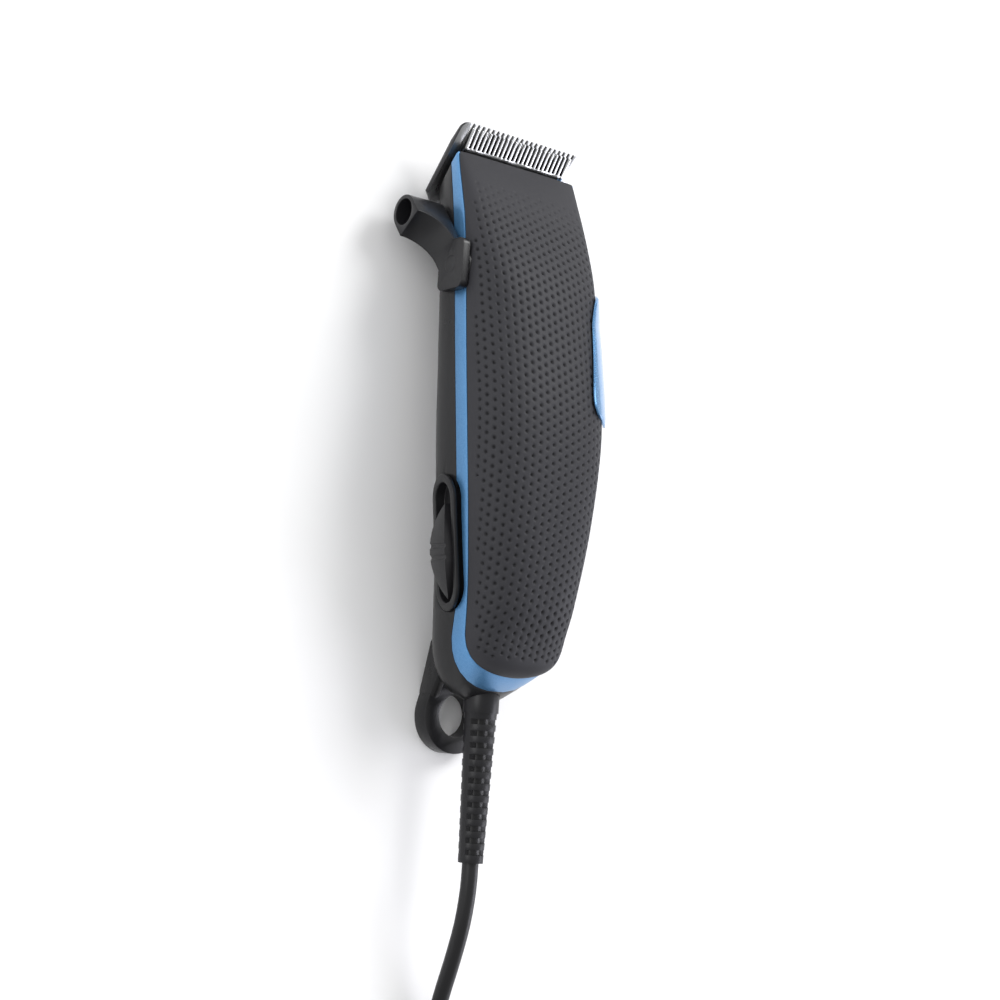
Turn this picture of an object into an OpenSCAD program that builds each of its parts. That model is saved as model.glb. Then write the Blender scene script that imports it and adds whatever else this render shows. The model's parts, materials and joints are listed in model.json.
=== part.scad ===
// Mains hair clipper with a vibrator motor, lying on its back.
//
// X runs across the clipper, Y along it from the cord to the blade tips, and Z up out of the
// front cover. The origin is on the flat rest pad above the hanging loop, on the middle plane.

/* [Body] */
// Length of the body from its cord end to the lip of the front cover
body_len = 160; // [150:1:192]
// Greatest width of the body
body_w = 48; // [46:0.5:58]
// Height of the front cover above the table
body_h = 46.5; // [45:0.5:56]
// Wall thickness of the housings and the front cover
wall = 2.2; // [1.8:0.1:2.7]
// Distance from the cord end of the body to the middle of the rest pad
pad_from_end = 4; // [3:0.5:6]

/* [Side band] */
// Height of the side band along the flanks
band_h = 5.2; // [4:0.2:6.4]
// Height of the side band at the cord end
band_end_h = 7.6; // [6:0.2:8]
// Thickness of the side band
band_thick = 2.4; // [1.8:0.1:3]
// Gap between the band and each housing
seam_gap = 0.25; // [0.15:0.05:0.4]

/* [Blades] */
// Width of the fixed blade
blade_w = 46; // [40:0.5:50]
// Length of the fixed blade from heel to tips
blade_len = 28; // [26:0.5:31]
// Thickness of the fixed blade
blade_thick = 2; // [1.6:0.1:2.4]
// Slope of the blades from the body's length
blade_angle = 40.5; // [36:0.5:45]
// Number of gaps between the teeth of the fixed blade
fixed_gaps = 22; // [16:1:26]
// Width of each corner tooth of the fixed blade
corner_tooth = 3; // [2.5:0.1:4]
// Length of the fixed blade's teeth
tooth_len = 6.6; // [5:0.2:8]
// Width of the moving blade
moving_w = 39; // [34:0.5:41]
// Number of teeth on the moving blade
moving_teeth = 24; // [16:1:28]
// Thickness of the moving blade
moving_thick = 1.4; // [1.2:0.1:1.8]
// Distance from the moving blade's tips to the fixed blade's tips with the lever closed
tip_set = 1.2; // [0.8:0.1:2]

/* [Taper lever] */
// Distance of the lever's pivot from the cord end of the body
lever_from_end = 123.5; // [117:0.5:127]
// Height of the lever's pivot above the table
lever_z = 22.75; // [21:0.25:24]
// Distance from the pivot to the middle of the thumb tube
lever_reach = 20.2; // [18:0.2:22]
// Outer diameter of the thumb tube
tube_d = 10.4; // [9:0.2:11]
// Bore of the thumb tube
tube_bore = 8; // [6:0.2:8.4]
// Length of the thumb tube
tube_len = 12; // [9:0.5:14]
// Opening angle of the lever
lever_swing = 30; // [20:1:34]
// Diameter of the lever's shaft
shaft_d = 8; // [6.6:0.2:8.6]
// Throw of the eccentric pin on the shaft
throw = 2.6; // [1.6:0.1:2.8]

/* [Switch] */
// Length of the switch bezel
bezel_len = 40; // [36:0.5:44]
// Width of the switch bezel
bezel_w = 15; // [13:0.5:16]
// Length of the switch button
button_len = 28; // [24:0.5:30]
// Travel of the switch button
switch_travel = 5; // [3:0.5:6]

/* [Motor] */
// Length of the laminated core
core_len = 44; // [36:1:46]
// Thickness of the stack of laminations
stack = 14; // [11:0.5:15]
// Air gap between the core and the armature
air_gap = 1.4; // [1.1:0.1:1.8]
// Swing of the arm to each side
arm_swing = 1; // [0.6:0.1:1.1]
// Diameter of the drive pin
drive_pin_d = 3.6; // [3:0.1:4]

/* [Cord] */
// Diameter of the mains cord
cord_d = 5; // [4.6:0.1:5.4]
// Length of the strain relief outside the body
relief_len = 50; // [44:1:56]
// Height of the cord's exit above the table
cord_z = 17.5; // [16:0.5:18.5]
// Diameter of the plug's pins
plug_pin_d = 4; // [3.8:0.1:4.8]
// Distance between the plug's pins
plug_pin_pitch = 18.6; // [17:0.2:19.2]

/* [Hidden] */
$fn = 48;

// Colours
soft_grey = "#45464a";
satin_black = "#1b1b1d";
band_blue = "#5b93c8";
blade_steel = "#c9ccd0";
core_steel = "#6d6f74";
spring_steel = "#a9abb0";
cream = "#d9d2c0";
copper = "#b5682f";

// Places along the body
end_y = -pad_from_end;
lip_y = end_y + body_len;
half_w = body_w / 2;
nose_len = 16;
nose_h_len = 9;
cut_gap = 4.6;      // from the blade's outer face to the cut end of the cover
stack_gap = 5.6;    // from the blade's outer face to the cut end of the rear housing
fit = 0.1;          // clearance of loose fits, on the radius
run_fit = 0.06;     // clearance of running fits, on the radius
slip = 0.05;        // clearance of faces that slide on each other

// Sections of the body: share of the length, share of the half width, share of the
// height, height of the back, height of the band's middle.
SECTIONS = [
    [0.00, 0.73, 0.80, 6.2, 27.6],
    [0.09, 0.725, 0.86, 5.9, 27.0],
    [0.16, 0.75, 0.945, 5.5, 28.2],
    [0.31, 0.88, 1.00, 7.2, 29.9],
    [0.48, 0.99, 0.995, 7.4, 29.8],
    [0.62, 1.00, 0.915, 6.6, 27.1],
    [0.76, 0.98, 0.795, 6.0, 23.7],
    [0.87, 0.965, 0.62, 4.6, 20.7],
    [1.00, 0.95, 0.385, 1.6, 15.3]];
last = len(SECTIONS) - 1;

// Slope of column c at section k, and the smooth curve through the column at share s.
function slope(k, c) = let (a = SECTIONS[max(k - 1, 0)], b = SECTIONS[min(k + 1, last)])
    (b[c] - a[c]) / (b[0] - a[0]);
function section_at(s) = max([for (k = [0:last - 1]) if (k == 0 || s >= SECTIONS[k][0]) k]);
function smooth(s, c) = let (k = section_at(s), a = SECTIONS[k], b = SECTIONS[k + 1],
    h = b[0] - a[0], t = (s - a[0]) / h, u = 1 - t)
    a[c] * (1 + 2 * t) * u * u + b[c] * t * t * (3 - 2 * t)
    + h * t * u * (slope(k, c) * u - slope(k + 1, c) * t);

// The round nose: 0 at the cord end of the body, 1 once the nose has its full size.
function round_off(d, len) = let (t = 1 - min(1, d / len)) pow(1 - pow(t, 2.2), 1 / 2.2);
function share(y) = (y - end_y) / body_len;
function width_at(y) = half_w * smooth(share(y), 1) * round_off(y - end_y, nose_len);
function seam_at(y) = smooth(share(y), 4);
function band_half(y) = let (s = share(y))
    (s < 0.14 ? band_end_h + (band_h - band_end_h) * s / 0.14
     : s > 0.87 ? band_h * (1 - 0.35 * (s - 0.87) / 0.13) : band_h) / 2;
function rise_at(y) = let (b = band_half(y) + seam_gap)
    b + (body_h * smooth(share(y), 2) - seam_at(y) - b) * round_off(y - end_y, nose_h_len);
function drop_at(y) = let (b = band_half(y) + seam_gap)
    b + (seam_at(y) - smooth(share(y), 3) - b) * round_off(y - end_y, nose_h_len);
function front_power(y) = 2.7 + 3 * max(0, share(y) - 0.7) / 0.3;
function back_power(y) = 3.3 + 1.3 * max(0, share(y) - 0.6) / 0.4;
function signed_pow(v, p) = sign(v) * pow(abs(v), p);

// The cord end slopes: the cover is set back from the band, and the back stands out below it.
cover_back = 4.2;
back_out = 0.7;         // per unit of depth below the band
back_out_depth = 17.5;  // depth below the band at which the back is flush again
slope_reach = 21;
function slope_fade(y) = pow(max(0, 1 - (y - end_y) / slope_reach), 2);
function stand_out(d) = d * max(0, 1 - pow(d / back_out_depth, 2));

// Height of the outer skin above the table at a place on the front or the back.
function front_z(x, y) = seam_at(y)
    + rise_at(y) * pow(1 - pow(abs(x) / width_at(y), front_power(y)), 1 / front_power(y));
function back_z(x, y) = seam_at(y)
    - drop_at(y) * pow(1 - pow(abs(x) / width_at(y), back_power(y)), 1 / back_power(y));

NOSE_RINGS = 7;
BODY_RINGS = 22;
ARC = 24;
RING_Y = concat(
    [for (k = [0:NOSE_RINGS - 1]) end_y + nose_len * (1 - cos(90 * (k + 0.6) / NOSE_RINGS))],
    [for (k = [0:BODY_RINGS]) end_y + nose_len + (body_len - nose_len) * k / BODY_RINGS]);

// One arc of a skin: a half section above (side 1) or below (side -1) the band, set in by
// an inset. The inner skin starts one inset further from the cord end.
function skin_ring(y, side, inset) = let (
    w = max(width_at(y) - inset, 0.3 * width_at(y)),
    edge = band_half(y) + seam_gap,
    h0 = side > 0 ? rise_at(y) : drop_at(y),
    h = inset > 0 ? max(h0 - inset, edge + 0.3) : h0,
    p = side > 0 ? front_power(y) : back_power(y),
    a0 = asin(pow(edge / h, p / 2)),
    y1 = y + inset * (lip_y - y) / body_len + (side > 0 ? cover_back * slope_fade(y) : 0),
    out = side > 0 ? 0 : back_out * slope_fade(y))
    [for (j = [0:ARC]) let (a = a0 + (180 - 2 * a0) * j / ARC, depth = h * pow(sin(a), 2 / p))
        [w * signed_pow(cos(a), 2 / p), y1 - out * stand_out(depth - edge), seam_at(y) + side * depth]];

// A half shell: outer and inner arcs joined along both seams, at the lip and at the nose.
module half_shell(side) {
    outer = [for (y = RING_Y) each skin_ring(y, side, 0)];
    inner = [for (y = RING_Y) each skin_ring(y, side, wall)];
    n = ARC + 1;
    rings = len(RING_Y);
    all = len(outer);
    function strip(k, j, base) = let (a = base + k * n + j) [a, a + 1, a + n + 1, a + n];
    function flip(f) = [for (i = [len(f) - 1:-1:0]) f[i]];
    lip = (rings - 1) * n;
    quads = concat(
        [for (k = [0:rings - 2], j = [0:ARC - 1]) strip(k, j, 0)],
        [for (k = [0:rings - 2], j = [0:ARC - 1]) flip(strip(k, j, all))],
        [for (k = [0:rings - 2]) [k * n, k * n + n, all + k * n + n, all + k * n]],
        [for (k = [0:rings - 2]) let (a = k * n + ARC) [a + n, a, all + a, all + a + n]],
        [for (j = [0:ARC - 1]) [lip + j, lip + j + 1, all + lip + j + 1, all + lip + j]],
        [[0, all, all + ARC, ARC]]);
    halves = [for (q = quads) each [[q[0], q[1], q[2]], [q[0], q[2], q[3]]]];
    caps = [[for (j = [ARC:-1:0]) j], [for (j = [0:ARC]) all + j]];
    faces = concat(halves, caps);
    polyhedron(concat(outer, inner), side > 0 ? faces : [for (f = faces) flip(f)]);
}

// Frames that several pieces share.
lip_z = body_h * SECTIONS[last][2];
lip_over_blade = 6.2;
heel_y = lip_y - (lip_z * cos(blade_angle) - lip_over_blade) / sin(blade_angle);
module blade_frame() translate([0, heel_y, 0]) rotate([blade_angle, 0, 0]) children();
lever_y = end_y + lever_from_end;
module along_x(x) translate([x, 0, 0]) rotate([90, 0, 90]) children();
module rod_x(x0, x1, r) along_x(x0) cylinder(h = x1 - x0, r = r);
module rod_y(y0, y1, r) translate([0, y0, 0]) rotate([-90, 0, 0]) cylinder(h = y1 - y0, r = r);

// A round wire or cord swept along a route, with flat ends.
function unit(v) = v / norm(v);
function heading(p, i) = unit(p[min(i + 1, len(p) - 1)] - p[max(i - 1, 0)]);
function across(t, up) = unit(cross(t, up));
function wire_ring(c, t, up, r, sides) = let (a = across(t, up), b = cross(a, t))
    [for (j = [0:sides - 1]) c + r * (a * cos(360 * j / sides) + b * sin(360 * j / sides))];
function curve(p, i, t) = let (n = len(p) - 1, a = p[max(i - 1, 0)], b = p[i], c = p[i + 1],
    d = p[min(i + 2, n)])
    0.5 * (2 * b + t * (c - a) + t * t * (2 * a - 5 * b + 4 * c - d)
    + t * t * t * (3 * b - a - 3 * c + d));
function smooth_route(p, steps) = concat(
    [for (i = [0:len(p) - 2], k = [0:steps - 1]) curve(p, i, k / steps)], [p[len(p) - 1]]);
module wire(route, r, sides, up) {
    n = len(route);
    points = [for (i = [0:n - 1]) each wire_ring(route[i], heading(route, i), up, r, sides)];
    walls = [for (i = [0:n - 2], j = [0:sides - 1]) let (a = i * sides + j,
        b = i * sides + (j + 1) % sides) each [[a, b, b + sides], [a, b + sides, a + sides]]];
    polyhedron(points, concat([for (f = walls) [f[2], f[1], f[0]]],
        [[for (j = [0:sides - 1]) j]], [[for (j = [sides - 1:-1:0]) (n - 1) * sides + j]]));
}

// ---- Screws that hold the two halves together -------------------------------------------

// Each is [x, y]. The bosses of both halves meet at boss_z.
BODY_SCREWS = [[0, end_y + 24], [-8, end_y + 59], [9.5, lip_y - 26]];
boss_r = 3.4;
screw_r = 1.5;
screw_hole_r = 1.7;
head_r = 2.9;
head_hole_r = 3.2;
head_depth = 3;
function boss_z(y) = seam_at(y) - 4;
function head_z(x, y) = back_z(abs(x), y) + 1 + head_depth;

module cover_bosses() {
    for (b = BODY_SCREWS) {
        top = front_z(abs(b[0]) + boss_r, b[1]) - 0.4;
        low = boss_z(b[1]) + 0.1;
        translate([b[0], b[1], low]) difference() {
            cylinder(h = top - low, r = boss_r);
            translate([0, 0, -1]) cylinder(h = 13, r = screw_r);
        }
    }
}

module back_bosses() {
    for (b = BODY_SCREWS) {
        low = back_z(abs(b[0]) + head_hole_r + 1, b[1]) + 0.5;
        translate([b[0], b[1], low]) cylinder(h = boss_z(b[1]) - low, r = boss_r + 0.8);
    }
}

module back_screw_holes() {
    for (b = BODY_SCREWS) translate([b[0], b[1], 0]) {
        translate([0, 0, -1]) cylinder(h = 60, r = screw_hole_r);
        translate([0, 0, -1]) cylinder(h = head_z(b[0], b[1]) + 1, r = head_hole_r);
    }
}

module housing_screws() {
    color(spring_steel) for (b = BODY_SCREWS) translate([b[0], b[1], head_z(b[0], b[1])]) {
        difference() {
            translate([0, 0, -2]) cylinder(h = 2, r = head_r);
            cross_slot(-2, 1.2, 3.4);
        }
        cylinder(h = boss_z(b[1]) + 10 - head_z(b[0], b[1]), r = screw_r - 0.02);
    }
}

// A cross recess cut into a head from below z.
module cross_slot(z, depth, width) {
    for (a = [0, 90]) rotate(a)
        translate([-width / 2, -0.35, z - 0.5]) cube([width, 0.7, depth + 0.5]);
}

// ---- Taper lever -------------------------------------------------------------------------

lever_thick = 2.6;
lever_x = -half_w * smooth(share(lever_y), 1) - 0.6;   // inner face of the lever
lever_down = 38;                                        // slope of the lever at rest
block_len = 15;
block_h = 11.6;
boss_out = lever_x + 0.2;
pivot_boss_r = shaft_d / 2 + 1.8;
crank_x = -10.8;                                        // inner end of the lever's shaft
link_thick = 2;
link_end_r = 4.2;
crank_pin_d = 3.4;
// At half travel the pin lies across the follower's way, so the motion is nearly even.
crank_rest = lever_swing / 2 + blade_angle - 90;
taper_travel = throw * 2 * sin(lever_swing / 2);

module lever_frame() translate([0, lever_y, lever_z]) children();

module taper_lever() {
    outer_x = lever_x - tube_len;
    plate_x = lever_x - lever_thick;
    fillet = tube_len - lever_thick;
    color(satin_black) difference() {
        lever_frame() along_x(outer_x) linear_extrude(height = tube_len) {
            offset(r = 2, $fn = 32) offset(delta = -2)
                translate([-block_len / 2, -block_h / 2]) square([block_len, block_h]);
            hull() {
                circle(r = block_h / 2 - 0.6);
                rotate(-lever_down) translate([lever_reach, 0]) circle(r = tube_d / 2);
            }
        }
        // The block is only as thick as the plate; the tube stands out in a concave sweep.
        lever_frame() rotate([-lever_down, 0, 0]) {
            side = lever_reach - tube_d / 2 - fillet;
            translate([outer_x, side, 0]) cylinder(h = 60, r = fillet, center = true, $fn = 96);
            translate([outer_x - 1, side - 60, -30]) cube([fillet + 1, 60, 60]);
        }
        // The hollow of the thumb tube
        lever_frame() rotate([-lever_down, 0, 0]) translate([0, lever_reach, 0])
            rod_x(outer_x - 1, lever_x - 1.4, tube_bore / 2);
        lever_frame() rod_x(outer_x - 1, lever_x + 1, 1.6);
        lever_frame() rod_x(lever_x - 1.2, lever_x + 1, 3 + fit);
    }
}

// The shaft runs in the housing's side wall and ends in an eccentric pin.
module lever_shaft() {
    color(core_steel) lever_frame() {
        difference() {
            union() {
                rod_x(lever_x, crank_x, shaft_d / 2);
                rod_x(lever_x - 1.2, lever_x, 3);
                rod_x(boss_out + wall + 2.4, boss_out + wall + 3.6, shaft_d / 2 + 1.4);
            }
            rod_x(lever_x - 2, lever_x + 7, 1.2);
        }
        rotate([crank_rest, 0, 0]) translate([0, throw, 0])
            rod_x(crank_x, crank_x + link_thick + 0.9, crank_pin_d / 2);
    }
}

module lever_screw() {
    color(spring_steel) lever_frame() {
        difference() {
            rod_x(lever_x - lever_thick - 1.3, lever_x - lever_thick, 3);
            translate([lever_x - lever_thick - 1.5, -2.5, -0.4]) cube([0.9, 5, 0.8]);
        }
        rod_x(lever_x - lever_thick, lever_x + 6, 1.18);
    }
}

// The follower carries the blade guide. Its link reaches up to the lever's eccentric pin.
follower_u = [3.4, 6.1];
follower_v = [blade_thick + moving_thick + 0.3, 8];
guide_u = [follower_u[1] + 0.1, 16];
link_x = crank_x + 0.35;

// The pivot's place in the blade's frame
pivot_u = (lever_y - heel_y) * cos(blade_angle) + lever_z * sin(blade_angle);
pivot_v = -(lever_y - heel_y) * sin(blade_angle) + lever_z * cos(blade_angle);
pin_u = pivot_u + throw * cos(crank_rest - blade_angle);
pin_v = pivot_v + throw * sin(crank_rest - blade_angle);

module taper_follower() {
    slot_v = throw * (1 - cos(lever_swing / 2)) + 0.6;
    color(cream) blade_frame() {
        translate([-10.4, follower_u[0], follower_v[0]])
            cube([20.8, follower_u[1] - follower_u[0], follower_v[1] - follower_v[0]]);
        along_x(link_x) linear_extrude(height = link_thick) difference() {
            hull() {
                translate([follower_u[0], follower_v[1] - 3])
                    square([follower_u[1] - follower_u[0], 2]);
                translate([pin_u, pin_v]) circle(r = link_end_r);
            }
            translate([pin_u, pin_v]) hull() {
                translate([0, slot_v]) circle(r = crank_pin_d / 2 + run_fit);
                translate([0, -slot_v]) circle(r = crank_pin_d / 2 + run_fit);
            }
        }
    }
}

// ---- Housings ----------------------------------------------------------------------------

// The space in front of the blades' cut plane, at a height over the blade's outer face
module blade_side(gap) blade_frame() translate([-60, -60, gap - 80]) cube([120, 160, 80]);

// The switch stands on the left flank, square to its skin.
switch_y = end_y + 42;
switch_z = 21.8;
switch_tilt = -13;
switch_turn = 7.5;
switch_power = back_power(switch_y);
switch_x = -width_at(switch_y)
    * pow(1 - pow((seam_at(switch_y) - switch_z) / drop_at(switch_y), switch_power),
    1 / switch_power);
module switch_frame() translate([switch_x, switch_y, switch_z])
    rotate([0, switch_tilt, switch_turn]) children();
module stadium(len, w) {
    translate([-(len - w) / 2, 0]) circle(d = w);
    translate([(len - w) / 2, 0]) circle(d = w);
    translate([-(len - w) / 2, -w / 2]) square([len - w, w]);
}
module stadium_x(x0, x1, len, w) along_x(x0) linear_extrude(height = x1 - x0) stadium(len, w);

module lever_boss_cut(extra) lever_frame() rod_x(-60, -14, pivot_boss_r + extra);
power_y = end_y + 113;
power_z = 17;
power_x = width_at(power_y)
    * pow(1 - pow((seam_at(power_y) - power_z) / drop_at(power_y), back_power(power_y)),
    1 / back_power(power_y));
screw_tip_x = power_x - 5.3;    // inner end of the power screw
power_boss_r = 4.6;
power_screw_r = 2;
power_head_r = 3.2;
module power_frame() translate([0, power_y, power_z]) children();

module front_cover() {
    color(soft_grey) {
        difference() {
            half_shell(1);
            blade_side(cut_gap);
            lever_boss_cut(0.3);
        }
        cover_bosses();
    }
}

// Hanging loop: a flat plate with an eye, in one with the rear housing. Its shoulders rise
// to the back, and the rest pad lies between them.
loop_r = 11.4;
loop_y = -11.6;
loop_thick = 5.6;
eye_y = -11.6;
eye_r = 6.4;
module hanging_loop() {
    difference() {
        linear_extrude(height = loop_thick) hull() {
            translate([0, loop_y]) circle(r = loop_r, $fn = 64);
            translate([-6, -3]) square([12, 11]);
        }
        translate([0, eye_y, -1]) cylinder(h = 20, r = eye_r);
    }
    for (s = [-1, 1]) hull() {
        translate([s * 8.4, -5, 0]) cylinder(h = loop_thick, r = 1.8);
        translate([s * 9.2, 1, 3.4]) cylinder(h = 6.4, r = 1.8);
        translate([s * 10.4, 9, 7.4]) cylinder(h = 4, r = 2.4);
    }
}

post_x = 14;
post_u = 6.5;
post_r = 3;
post_end = 13;
module blade_posts() {
    blade_frame() for (s = [-1, 1]) {
        translate([s * post_x, post_u, blade_thick + slip])
            cylinder(h = post_end - blade_thick, r = post_r);
        translate([s > 0 ? post_x : -post_x - 5, post_u - 1.2, stack_gap])
            cube([5, 2.4, post_end - stack_gap]);
    }
}

relief_neck_r = 4.1;
relief_flange_r = relief_neck_r + 1.4;
flange_y0 = end_y + wall + 1.2;
spring_post_x = -0.2;

module rear_housing() {
    color(satin_black) difference() {
        union() {
            difference() {
                half_shell(-1);
                blade_side(stack_gap);
            }
            back_bosses();
            hanging_loop();
            // Ring round the neck of the strain relief
            translate([0, 0, cord_z]) rod_y(end_y + 0.3, flange_y0 + 1.4, relief_flange_r + 0.4);
            blade_posts();
            lever_frame() rod_x(boss_out, boss_out + wall + 2.2, pivot_boss_r);
            power_frame() rod_x(screw_tip_x + 1, power_x - 0.6, power_boss_r);
            // Post that holds the left return spring
            translate([spring_post_x - 3.4, power_y - 4, back_z(4, power_y) + 0.5])
                cube([3.4, 8, power_z + 5 - back_z(4, power_y)]);
            // Pillars under the core and the arm's anchor
            for (p = CORE_FEET) translate([p[0], p[1], back_z(abs(p[0]) + 4, p[1]) + 0.8])
                cylinder(h = core_z0 - back_z(abs(p[0]) + 4, p[1]) - 0.8, r = 3.4);
            translate([anchor_x0, anchor_y0, back_z(anchor_x1, anchor_y0) + 0.8])
                cube([anchor_x1 - anchor_x0, anchor_len,
                    anchor_z0 - back_z(anchor_x1, anchor_y0) - 0.8]);
        }
        back_screw_holes();
        lever_frame() rod_x(-60, -14, shaft_d / 2 + run_fit);
        switch_frame() stadium_x(-10, 8, bezel_len - 3, bezel_w - 3);
        switch_frame() stadium_x(-10, 0.4, bezel_len + 0.3, bezel_w + 0.3);
        power_frame() rod_x(power_x - 20, power_x + 5, power_screw_r + run_fit);
        power_frame() rod_x(power_x - 2.4, power_x + 5, power_head_r + fit);
        translate([0, 0, cord_z]) rod_y(end_y - 10, end_y + 8, relief_neck_r);
        translate([0, 0, cord_z]) rod_y(end_y - 14, end_y - 0.05, relief_r0 + 0.4 + fit);
        translate([0, 0, cord_z]) rod_y(flange_y0 - fit, end_y + 9, relief_flange_r + fit);
        blade_frame() for (s = [-1, 1]) translate([s * post_x, post_u, 0])
            cylinder(h = 10, r = 1.5);
        // Room for the follower's way back
        blade_frame() translate([-11, follower_u[0] - taper_travel - 0.4, follower_v[0] - 0.2])
            cube([22, taper_travel + 3, follower_v[1] - follower_v[0]]);
        blade_frame() translate([link_x - 0.4, follower_u[0] - taper_travel - 1.85,
            follower_v[1] - 2.1]) cube([link_thick + 0.8, 4, 4]);
        for (p = CORE_FEET) translate([p[0], p[1], core_z0 - 8]) cylinder(h = 20, r = 1.4);
        for (y = ANCHOR_SCREW_Y) translate([anchor_mid_x, y, anchor_z0 - 8])
            cylinder(h = 20, r = 1.4);
    }
}

// Band between the housings, down both flanks and round the nose. Five points follow the
// bulge of the flank; the inner side is straight.
BAND_STEPS = [1, 0.5, 0, -0.5, -1];
function flank_x(y, dz) = let (h = dz > 0 ? rise_at(y) : drop_at(y),
    p = dz > 0 ? front_power(y) : back_power(y))
    width_at(y) * pow(1 - pow(min(0.98, abs(dz) / h), p), 1 / p);
function band_ring(y, s) = let (b = band_half(y) - 0.01, q = band_thick,
    lean = cover_back * slope_fade(y),
    in_y = y + q * (lip_y - y) / body_len,
    in_w = max(flank_x(y, b) - q, 0.25 * flank_x(y, b)))
    concat([for (t = BAND_STEPS) [s * (flank_x(y, b * t) + 0.05), y + lean * (1 + t) / 2,
        seam_at(y) + b * t]],
    [[s * in_w, in_y, seam_at(y) - b], [s * in_w, in_y + lean, seam_at(y) + b]]);

module side_band() {
    rings = concat([for (i = [len(RING_Y) - 1:-1:0]) band_ring(RING_Y[i], 1)],
        [for (y = RING_Y) band_ring(y, -1)]);
    n = len(rings[0]);
    count = len(rings);
    walls = [for (i = [0:count - 2], j = [0:n - 1]) let (a = i * n + j, b = i * n + (j + 1) % n)
        each [[a, b, b + n], [a, b + n, a + n]]];
    color(band_blue) difference() {
        polyhedron([for (r = rings) each r], concat([for (f = walls) f],
            [[for (j = [n - 1:-1:0]) j]], [[for (j = [0:n - 1]) (count - 1) * n + j]]));
        blade_side(stack_gap);
        lever_boss_cut(0.3);
        switch_frame() stadium_x(-10, 12, bezel_len + 0.3, bezel_w + 0.3);
    }
}

// Glossy inlay on the right flank of the cover, between two shares of the section's arc
inlay_y = [end_y + 81, end_y + 123];
INLAY_ROWS = 18;
INLAY_COLS = 12;
inlay_thick = 1.1;
function inlay_point(u, v, out) = let (
    y = inlay_y[0] + (inlay_y[1] - inlay_y[0]) * u,
    low = 14 + 10 * pow(1 - u, 6),
    high = low + (47 - 12 * u) * pow(1 - pow(abs(2 * u - 1), 5), 0.4) + 3,
    a = low + (high - low) * v,
    p = front_power(y),
    w = width_at(y) + out,
    h = rise_at(y) + out)
    [w * pow(cos(a), 2 / p), y, seam_at(y) + h * pow(sin(a), 2 / p)];
module flank_inlay() {
    rows = INLAY_ROWS;
    cols = INLAY_COLS;
    n = cols + 1;
    top = [for (i = [0:rows], j = [0:cols]) inlay_point(i / rows, j / cols, inlay_thick)];
    low = [for (i = [0:rows], j = [0:cols]) inlay_point(i / rows, j / cols, 0.5)];
    all = len(top);
    function tile(i, j, b) = let (a = b + i * n + j) [a, a + 1, a + n + 1, a + n];
    quads = concat(
        [for (i = [0:rows - 1], j = [0:cols - 1]) tile(i, j, 0)],
        [for (i = [0:rows - 1], j = [0:cols - 1]) let (q = tile(i, j, all)) [q[3], q[2], q[1], q[0]]],
        [for (i = [0:rows - 1]) let (a = i * n) [a, a + n, all + a + n, all + a]],
        [for (i = [0:rows - 1]) let (a = i * n + cols) [a + n, a, all + a, all + a + n]],
        [for (j = [0:cols - 1]) [j + 1, j, all + j, all + j + 1]],
        [for (j = [0:cols - 1]) let (a = rows * n + j) [a, a + 1, all + a + 1, all + a]]);
    color(band_blue) polyhedron(concat(top, low),
        [for (q = quads) each [[q[0], q[1], q[2]], [q[0], q[2], q[3]]]]);
}

// ---- Switch ------------------------------------------------------------------------------

bezel_proud = 0.9;
bezel_deep = 3.2;
rim = 1.6;
button_w = bezel_w - 2 * rim - 1;
module switch_bezel() {
    color(satin_black) switch_frame() difference() {
        union() {
            stadium_x(-bezel_proud, 0.3, bezel_len, bezel_w);
            stadium_x(0.3, bezel_deep, bezel_len - 3.2, bezel_w - 3.2);
        }
        stadium_x(-5, bezel_deep - 1, bezel_len - 2 * rim - 1.8, bezel_w - 2 * rim - 1);
        // Slot for the button's stem
        along_x(-5) linear_extrude(height = 20)
            translate([-3 - switch_travel / 2, -1.6]) square([6 + switch_travel, 3.2]);
    }
}

// Boat-shaped button at the rear end of its slot, which is the off position.
button_y = -(bezel_len - 2 * rim - 1.8 - button_len) / 2 + 0.9;
module switch_button() {
    lens_r = (button_len * button_len / 4 + button_w * button_w / 4) / button_w;
    crown_r = 34;
    crown = 3.2;
    color(satin_black) switch_frame() translate([0, button_y, 0]) difference() {
        intersection() {
            stadium_x(-crown, bezel_deep - 1.1, button_len, button_w);
            translate([0, 0, lens_r - button_w / 2]) rod_x(-9, 9, lens_r, $fn = 96);
            translate([0, 0, -lens_r + button_w / 2]) rod_x(-9, 9, lens_r, $fn = 96);
            translate([crown_r - crown, 0, 0])
                cylinder(h = 40, r = crown_r, center = true, $fn = 128);
        }
        // Finger grooves either side of the middle ridge
        for (y = [-1.7, 1.7]) translate([-crown - 0.4, y, 0])
            cylinder(h = 40, r = 0.9, center = true);
    }
}

module switch_carrier() {
    color(cream) switch_frame() translate([0, button_y, 0]) {
        translate([bezel_deep - 1.1, -2.4, -1.4]) cube([1.5, 4.8, 2.8]);
        translate([bezel_deep + 0.2, -7, -3.6]) cube([1.6, 14, 7.2]);
        translate([bezel_deep + 1.8, -1.6, -1.4]) cube([1.8, 3.2, 2.8]);
    }
}

module switch_block() {
    x0 = bezel_deep + 2.2;
    color("#2b2b2e") switch_frame() difference() {
        union() {
            translate([x0, -11, -3.8]) cube([6, 19, 7.6]);
            for (y = [-8, -2, 4]) translate([x0 + 6, y, -0.4]) cube([3, 1.6, 0.8]);
        }
        translate([x0 - 1, -9.5, -1.6]) cube([2.7, 16, 3.2]);
    }
}

// ---- Blades ------------------------------------------------------------------------------

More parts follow.
